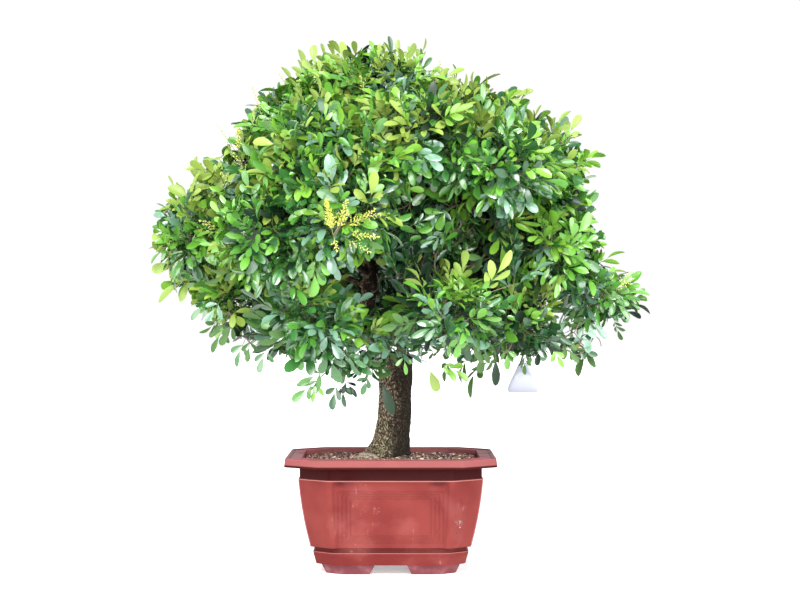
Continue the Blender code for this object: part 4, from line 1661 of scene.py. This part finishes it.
def wavy_line():
    """The path and normals of the wavy line round the foot band."""
    path, normals = [], []
    t = (WAVE_HEIGHT - FOOT_HEIGHT) / (GROOVE_LOW - FOOT_HEIGHT)
    section = tuple(a + (b - a) * t for a, b in zip(BAND_BOTTOM, BAND_TOP))
    corners = corners_of(section)
    run = 0.0
    for side in range(8):
        start, end = corners[side], corners[(side + 1) % 8]
        steps = max(4, round((end - start).length / WAVE_STEP))
        along = (end - start).normalized()
        for i in range(steps):
            spot = start.lerp(end, i / steps)
            wave = WAVE_RISE * abs(math.sin(math.pi * run / WAVE_LENGTH))
            path.append(Vector((*spot, WAVE_HEIGHT + wave)))
            normals.append(Vector((along.y, -along.x, 0)))
            run += (end - start).length / steps
    return [*path, path[0]], [*normals, normals[0]]


line_parts = [panel_strip(*line, front) for line in fret_lines() for front in (-1, 1)]
line_parts.append(strip(*wavy_line()))
print("raised lines:", len(line_parts))

# %% Join the pot
vertices, faces = joined([(pot_vertices, pot_faces), *foot_parts, *line_parts])
pot = mesh_object("pot_shell", vertices, faces)
numbers(pot.data, "groove", "FLOAT", [float(i in step_points) for i in range(len(vertices))])
pot.data.set_sharp_from_angle(angle=math.radians(38))
print("pot faces:", len(faces))

# %% [markdown]
# ## The pot's finish
# Old moulded plastic is one red all through, and wear tells some of its parts apart: a
# film of dust on the feet and the lip, streaks, and a few scuffs on the front. Light and
# shade are painted in too: painted shade in the neck, under the lip, in the groove and in
# the lip's step, painted highlights on the ledge and on the groove's lower edge, and a
# pale film on the end faces that is partly dust and partly painted sheen. Each is a mask
# over the red. Heights come from the same sizes as the wall, so a mask stays on its
# part when the pot is resized.

# %% Pot finish
SCUFFS = (  # x and z on the front, radius, colour
    ((0.0827, 0.0757), 0.0066, (118, 106, 104)),
    ((0.0855, 0.0690), 0.0022, (236, 222, 206)),
    ((0.0795, 0.0800), 0.0012, (60, 24, 28)),
    ((0.0790, 0.0610), 0.0012, (60, 24, 28)),
    ((-0.0335, 0.0940), 0.0070, (118, 66, 64)),
    ((-0.0520, 0.0920), 0.0080, (110, 52, 50)),
)
# the first colour is for painted highlights on the ledge and the groove's lower edge, the second for
# painted shade
EDGE_HIGHLIGHT, SHADE = (176, 116, 110), (56, 16, 16)


def pot_material():
    """Brick-red moulded plastic with a worn sheen, dust on the feet and lip, a few scuffs, and painted
    shade and highlights.
    """
    material, tree, principled = shader("pot_plastic", tone(108, 38, 36), 0.42, Specular_IOR_Level=0.05)
    spot, x, y, z = place_of(tree)
    color, _ = mottle(tree, spot, 14.0, 0.35, 0.65, tone(97, 38, 36), tone(109, 47, 44), 3.0)
    film, _ = mottle(tree, spot, 60.0, 0.40, 0.75, tone(97, 51, 56), tone(122, 76, 80), 6.0)
    feet = band(tree, z, -0.01, 0.0150, 0.002)
    neck = band(tree, z, LEDGE_HEIGHT - 0.0004, RIM_BOTTOM + 0.004, 0.0015)
    lip = band(tree, z, 0.1640, 0.2, 0.0005)
    side = worked_out(tree, "ABSOLUTE", worked_out(tree, "SUBTRACT", x, POT_X))
    ends = product(tree, lip, band(tree, side, 0.112, 0.1462, 0.004))
    color = blend_colors(tree, feet, color, film)
    edge = band(tree, z, RIM_BOTTOM + 0.0006, 0.2, 0.0008)
    color = blend_colors(tree, product(tree, edge, 0.75), color, tone(122, 70, 70))
    color = blend_colors(tree, ends, color, tone(128, 66, 72))
    groove = node(tree, "ShaderNodeAttribute", {"attribute_name": "groove"}).outputs["Fac"]
    # painted shade in the step of the lip's groove at both ends
    step_foot = product(tree, band(tree, groove, 0.92, 2.0, 0.04), ends)
    color = blend_colors(tree, step_foot, color, tone(30, 12, 16))
    # the end faces, picked by the way they face, get a pale film that is partly dust and partly painted
    # sheen
    edgewise = worked_out(tree, "ABSOLUTE", facing(tree))
    sides = product(tree, band(tree, edgewise, 0.66, 0.985, 0.04), band(tree, side, 0.1, 0.2, 0.004))
    dust_and_sheen = product(tree, sides, band(tree, z, 0.040, LEDGE_HEIGHT + 0.02, 0.004))
    color = blend_colors(tree, product(tree, dust_and_sheen, 0.55), color, tone(160, 110, 114))
    # painted shadow under the lip on the upper corners of the front and back panels
    shaded = band(tree, z, LEDGE_HEIGHT - 0.0110, LEDGE_HEIGHT + 0.0060, 0.0060)
    under_lip = product(tree, shaded, band(tree, side, 0.050, 0.0835, 0.012))
    color = blend_colors(tree, product(tree, under_lip, 0.62), color, tone(*SHADE))
    # rows in height: painted shade in the groove, a darker foot band, and painted highlights on the
    # ledge and on the groove's lower edge
    for low, high, share, shade in (
        (GROOVE_LOW - 0.0004, GROOVE_HIGH + 0.0004, 0.75, SHADE),
        (FOOT_HEIGHT, GROOVE_LOW, 0.52, (84, 26, 26)),
        (LEDGE_HEIGHT - 0.0014, LEDGE_HEIGHT + 0.0002, 0.70, EDGE_HIGHLIGHT),
        (GROOVE_LOW - 0.0012, GROOVE_LOW - 0.0002, 0.50, EDGE_HIGHLIGHT),
    ):
        row = product(tree, band(tree, z, low, high, 0.0003), share)
        color = blend_colors(tree, row, color, tone(*shade))
    streaks = node(tree, "ShaderNodeMapping", Vector=spot, Scale=(300.0, 300.0, 26.0)).outputs[0]
    dust = specks(tree, spot, 22.0, 0.50, 0.72, 5.0)
    streaked = product(tree, specks(tree, streaks, 1.0, 0.64, 0.72, 5.0), dust)
    color = blend_colors(tree, product(tree, streaked, 0.6), color, tone(160, 108, 104))
    color = blend_colors(tree, product(tree, dust, 0.25), color, tone(136, 78, 75))
    times = {"operation": "MULTIPLY"}
    flat = node(tree, "ShaderNodeVectorMath", times, i0=spot, i1=(1, 0, 1)).outputs[0]
    front = band(tree, y, -1.0, -0.03, 0.004)
    for (place_x, place_z), radius, shade in SCUFFS:
        gap = node(tree, "ShaderNodeVectorMath", {"operation": "DISTANCE"}, i0=flat,
                   i1=(place_x, 0, place_z)).outputs["Value"]
        flakes = specks(tree, spot, 420.0, 0.52, 0.62, 3.0)
        mark = product(tree, mapped(tree, gap, radius, radius * 0.5), flakes)
        color = blend_colors(tree, product(tree, mark, front), color, tone(*shade))
    # painted shade: the neck under the lip is darkened almost to black red
    color = blend_colors(tree, product(tree, neck, 0.96), color, tone(44, 2, 2))
    tree.links.new(color, principled.inputs["Base Color"])
    tree.links.new(mapped(tree, dust, 0.0, 1.0, 0.34, 0.56), principled.inputs["Roughness"])
    grain = node(tree, "ShaderNodeTexNoise", Vector=spot, Scale=260.0, Detail=2.0)
    bumped(tree, principled, grain.outputs[0], 0.12, 0.0008)
    return material


pot.data.materials.append(pot_material())
keep(pot, "pot_plastic", "pot")

# %% [markdown]
# ## Soil
# The pot is filled with a gritty mix: tan and dark chips of a few millimetres on a
# brown bed. The bed is a grid that rises to the trunk and ends at the wall. The chips
# are a few faceted stones that a geometry tree sets on thousands of points, each with
# its own turn, size and colour. A pale, lime-crusted lump of root sits at the left of
# the foot.

# %% Bed of the soil
SOIL_EDGE, SOIL_CROWN = 0.1580, 0.1640
SOIL_SPREAD, SOIL_RIPPLE, SOIL_SCALE = (0.075, 0.055), 0.0007, 120
BED_RINGS, BED_DEPTH, WALL_GAP = 26, 0.012, 0.0003
FOOT_X = -0.0240


def soil_height(x, y):
    """The soil's surface: highest at the trunk's foot, level along the wall."""
    reach = math.hypot((x - FOOT_X) / SOIL_SPREAD[0], y / SOIL_SPREAD[1])
    rise = math.exp(-(reach**2))
    ripple = SOIL_RIPPLE * noise.noise(Vector((x, y, 0)) * SOIL_SCALE)
    return SOIL_EDGE + (SOIL_CROWN - SOIL_EDGE) * rise + ripple


def soil_bed():
    """Rings of the pot's inner outline, drawn in to a point, closed by a skirt under them."""
    outline = ring(inset(BODY_TOP, WALL + NECK_INSET + WALL_GAP), 0, 0)
    count = len(outline)
    centre = Vector((POT_X, 0))
    vertices = [(x, y, SOIL_EDGE - BED_DEPTH) for x, y, _ in outline]
    for step in range(BED_RINGS):
        share = 1 - step / BED_RINGS
        for x, y, _ in outline:
            spot = centre + (Vector((x, y)) - centre) * share
            vertices.append((spot.x, spot.y, soil_height(spot.x, spot.y)))
    vertices.append((centre.x, centre.y, soil_height(*centre)))
    faces = [tuple(range(count))[::-1], *bridged(BED_RINGS + 1, count)]
    top = BED_RINGS * count
    faces += [(top + i, top + (i + 1) % count, len(vertices) - 1) for i in range(count)]
    return mesh_object("soil_bed", vertices, faces)


def crumbly(name, base, clouds, grain_scale, grain_height):
    """A dull, mottled and grainy finish for soil and crust."""
    material, tree, principled = shader(name, base, 0.95, Specular_IOR_Level=0.2)
    spot = place_of(tree)[0]
    tree.links.new(mottle(tree, spot, *clouds)[0], principled.inputs["Base Color"])
    grain = node(tree, "ShaderNodeTexNoise", Vector=spot, Scale=grain_scale, Detail=4.0)
    bumped(tree, principled, grain.outputs[0], 0.9, grain_height)
    return material


bed = soil_bed()
soil_clouds = (260.0, 0.4, 0.6, tone(54, 42, 32), tone(112, 90, 66))
bed.data.materials.append(crumbly("soil_brown", tone(84, 66, 48), soil_clouds, 500.0, 0.002))
keep(bed, "soil", "soil")

# %% Chips of grit
CHIP_FINISHES = (  # name, colour, share
    ("chip_tan", (132, 102, 93), 4),
    ("chip_pale", (202, 174, 158), 2.2),
    ("chip_buff", (108, 78, 71), 4),
    ("chip_brown", (78, 52, 46), 5.4),
    ("chip_black", (32, 23, 22), 5.4),
    ("chip_moss", (104, 112, 68), 1.0),
)
CHIP_SPACING, CHIP_JITTER, CHIP_KINDS = 0.0036, 0.0018, 3
CHIP_SIZES, CHIP_TILT, CHIP_LIFT = (0.0022, 0.0056), 0.6, (0.0002, 0.0014)
CHIP_WALL_GAP, TRUNK_CLEARANCE = 0.0022, 0.031


def chip(index):
    """A small uneven stone of twenty faces, unit size."""

    def reshape(vertex):
        vertex.co *= 1 + 0.45 * noise.noise(vertex.co * 3.1 + Vector((index * 7.3, 0, 0)))
        vertex.co.z *= 0.62

    return small_ball(f"chip_{index}", reshape)


def chip_points():
    """Where the chips lie: all over the bed but not inside the trunk or past the wall."""
    width, depth, cut = inset(BODY_TOP, WALL + NECK_INSET + CHIP_WALL_GAP)
    spots = []
    for gx in np.arange(-width, width, CHIP_SPACING):
        for gy in np.arange(-depth, depth, CHIP_SPACING):
            x, y = (place + rng.uniform(-1, 1) * CHIP_JITTER for place in (gx, gy))
            slant = (width - abs(x)) / cut + (depth - abs(y)) / (cut * CUT_SHAPE)
            if abs(x) > width or abs(y) > depth or slant < 1:
                continue
            if math.hypot(x + POT_X - FOOT_X, y) < TRUNK_CLEARANCE:
                continue
            height = soil_height(x + POT_X, y) + rng.uniform(*CHIP_LIFT)
            spots.append(Vector((x + POT_X, y, height)))
    return spots


def chip_turn():
    """A random turn about the upright and a smaller tilt."""
    about = Quaternion((0, 0, 1), rng.uniform(0, 6.28))
    return about @ Quaternion((1, 0, 0), rng.uniform(-CHIP_TILT, CHIP_TILT))


chip_shelf = shelf("chips", [chip(i) for i in range(CHIP_KINDS)])
chip_materials = [shader(name, tone(*color), 0.9)[0] for name, color, _ in CHIP_FINISHES]
spots = chip_points()
turns = [chip_turn() for _ in spots]
shares = np.cumsum([share for *_, share in CHIP_FINISHES])
sizes = [[s, s * rng.uniform(0.6, 1), s] for s in rng.uniform(*CHIP_SIZES, len(spots))]
kinds = rng.integers(0, CHIP_KINDS, len(spots))
tints = np.searchsorted(shares, rng.random(len(spots)) * shares[-1])
chip_tree = planting_tree("chips_on_points", chip_materials)
chips = plant("grit", chip_tree, chip_shelf, spots, turns, sizes, kinds, tints)
clear_shelf(chip_shelf)
keep(chips, "soil")

# %% [markdown]
# ## Crusted roots
# At the left of the foot an old root breaks the surface under a pale crust of lime and
# fine grit, and a smaller one lies to the right. Each is a ball pressed flat and
# roughened by noise, sunk halfway in the bed.

# %% Set the crusted roots
ROOTS = (  # middle, half sizes
    ((-0.0480, -0.0300, 0.1585), (0.0200, 0.0150, 0.0125)),
    ((0.0040, -0.0420, 0.1590), (0.0120, 0.0080, 0.0055)),
)


def crusted_root(middle, halves):
    """Vertices and faces of a flattened, roughened ball."""
    shape = bmesh.new()
    bmesh.ops.create_icosphere(shape, subdivisions=4, radius=1)
    for vertex in shape.verts:
        out = vertex.co.normalized()
        rough = 0.16 * noise.noise(out * 2.3 + Vector(middle) * 90) + 0.05 * noise.noise(out * 9)
        vertex.co = Vector(middle) + Vector([a * b for a, b in zip(out * (1 + rough), halves)])
    vertices = [tuple(vertex.co) for vertex in shape.verts]
    faces = [tuple(vertex.index for vertex in face.verts) for face in shape.faces]
    shape.free()
    return vertices, faces


roots = mesh_object("crusted_roots", *joined([crusted_root(*root) for root in ROOTS]))
crust_clouds = (240.0, 0.40, 0.62, tone(74, 62, 52), tone(134, 121, 106), 5.0)
roots.data.materials.append(crumbly("crusted_root", tone(108, 96, 84), crust_clouds, 420.0, 0.0015))
keep(roots, "soil")

# %% [markdown]
# ## Hang tag
# A nursery hangs a white plastic tag from the lowest twigs at the right. This one is
# left blank on both sides. It is a flat plate, narrow at its eyelet and flared below
# with round corners, on a thin grey thread.

# %% Cut the tag and tie its thread
TAG_PLACE = Vector((0.1737, -0.0600, 0.2575))
TAG_WIDTH, TAG_HEIGHT, TAG_THICKNESS, TAG_SLANT = 0.0440, 0.0430, 0.0008, 0.10
TAG_HALF = (  # the right half from its foot up, as shares of half the width and of the height
    (0.86, 0.0), (0.95, 0.03), (1.0, 0.10), (0.97, 0.19), (0.80, 0.40), (0.60, 0.60),
    (0.42, 0.80), (0.30, 0.93), (0.18, 0.985),
)
EYELET, EYE_SHARE = 0.0012, 0.90
THREAD_GAP, THREAD_RADIUS, THREAD_SLACK = 0.0009, 0.00028, 0.006


def tag_mesh():
    """Two sheets with a rim, and an eyelet near the top."""
    shares = [*TAG_HALF, (0.0, 1.0), *((-x, z) for x, z in reversed(TAG_HALF))]
    outline = [(x * TAG_WIDTH / 2, z * TAG_HEIGHT) for x, z in shares]
    eye_z = EYE_SHARE * TAG_HEIGHT
    steps = len(outline)
    eyelet = []
    for x, z in outline:
        way = Vector((x, z - eye_z)).normalized()
        eyelet.append((way.x * EYELET, eye_z + way.y * EYELET))
    vertices = []
    for y in (-TAG_THICKNESS / 2, TAG_THICKNESS / 2):
        for x, z in (*outline, *eyelet):
            vertices.append(tuple(TAG_PLACE + Vector((x, y + TAG_SLANT * x * 0.5, z))))
    side = 2 * steps
    faces = []
    for i in range(steps):
        j = (i + 1) % steps
        faces += [
            (i, j, steps + j, steps + i),
            (side + i, side + steps + i, side + steps + j, side + j),
            (i, side + i, side + j, j),
            (steps + i, steps + j, side + steps + j, side + steps + i),
        ]
    return vertices, faces


tag = mesh_object("tag", *tag_mesh())
# painted shade: the white tag is given a grey-lavender colour
tag.data.materials.append(shader("tag_plastic", tone(157, 160, 173), 0.35)[0])
keep(tag, None)

eye = TAG_PLACE + Vector((0, 0, EYE_SHARE * TAG_HEIGHT))
hook = nearest_wood(wood, eye + UP * 0.05)[0]
rise = [eye + UP * 0.0005, *(eye.lerp(hook, t) + UP * THREAD_SLACK for t in (0.35, 0.7)), hook]
thread_points = [spot + Vector((0, gap, 0)) for gap in (-THREAD_GAP, THREAD_GAP) for spot in rise]
thread_edges = [(0, 1), (1, 2), (2, 3), (4, 5), (5, 6), (6, 7), (0, 4)]
thread = mesh_object("thread_path", thread_points, edges=thread_edges)
numbers(thread.data, "thickness", "FLOAT", [THREAD_RADIUS] * len(thread_points))
thread_grey = shader("thread_grey", tone(150, 148, 160), 0.7)[0]
keep(grown(thread, tube_tree(thread_grey), "tag_thread", Sides=6), None)

# %% [markdown]
# ## Studio
# A pale floor runs out to a white surround. The surround is seen white but gives only
# a part of that as light, so that the gaps in the crown stay deep, and it is brighter
# in reflections, which gives the leaves their gloss. Four soft lamps do the rest: the
# key above the camera's left shoulder, a low one from the left, a weak fill from the
# front and one from the right side. The camera stands level, at half the plant's height.

# %% Floor, lamps and camera
FLOOR_SIDE, FLOOR_GLOW = 12.0, 0.40
SURROUND_LIGHT, SURROUND_GLOSS, SURROUND_SEEN = 0.38, 0.80, 1.02
WHITE = (1, 1, 1, 1)
LAMPS = (  # name, where it shines from, spread in degrees, strength
    ("key", (-0.20, -1.0, 0.85), 20, 3.6),
    ("low", (-1.0, -0.60, 0.30), 60, 3.6),
    ("fill", (0.20, -1.0, 0.12), 30, 2.3),
    ("side", (1.0, -0.70, 0.30), 60, 4.2),
)
CAMERA_DISTANCE, CAMERA_HEIGHT, CAMERA_LENS, CAMERA_SENSOR = 2.3, 0.3806, 71.38, 36
floor = mesh_object(
    "floor",
    [(x * FLOOR_SIDE, y * FLOOR_SIDE, 0) for x, y in ((-1, -1), (1, -1), (1, 1), (-1, 1))],
    [(0, 1, 2, 3)],
)
floor_white = shader(
    "studio_floor", tone(240, 240, 240), 0.9, Emission_Color=WHITE, Emission_Strength=FLOOR_GLOW
)[0]
floor.data.materials.append(floor_white)
world = bpy.data.worlds.new("studio")
world.use_nodes = True
surround = world.node_tree.nodes["Background"]
surround.inputs["Color"].default_value = WHITE
tree = world.node_tree
ray = node(tree, "ShaderNodeLightPath").outputs
mirrored = mapped(tree, ray["Is Glossy Ray"], 0.0, 1.0, SURROUND_LIGHT, SURROUND_GLOSS)
seen = mapped(tree, ray["Is Camera Ray"], 0.0, 1.0, mirrored, SURROUND_SEEN)
tree.links.new(seen, surround.inputs["Strength"])
bpy.context.scene.world = world


def lamp(name, place, spread, strength):
    """A distant soft lamp that shines from a place towards the origin."""
    data = bpy.data.lights.new(name, "SUN")
    data.energy, data.angle = strength, math.radians(spread)
    obj = bpy.data.objects.new(name, data)
    obj.rotation_euler = (-Vector(place)).to_track_quat("-Z", "Y").to_euler()
    bpy.context.scene.collection.objects.link(obj)


for name, place, spread, strength in LAMPS:
    lamp(name, place, spread, strength)
bpy.context.scene.view_settings.view_transform = "Standard"

camera = bpy.data.objects.new("camera", bpy.data.cameras.new("camera"))
camera.data.lens = CAMERA_LENS
camera.data.sensor_width = CAMERA_SENSOR
camera.location = (0, -CAMERA_DISTANCE, CAMERA_HEIGHT)
camera.rotation_euler = (math.radians(90), 0, 0)
bpy.context.scene.collection.objects.link(camera)
bpy.context.scene.camera = camera
print("lamps:", len(LAMPS), "camera height:", CAMERA_HEIGHT)
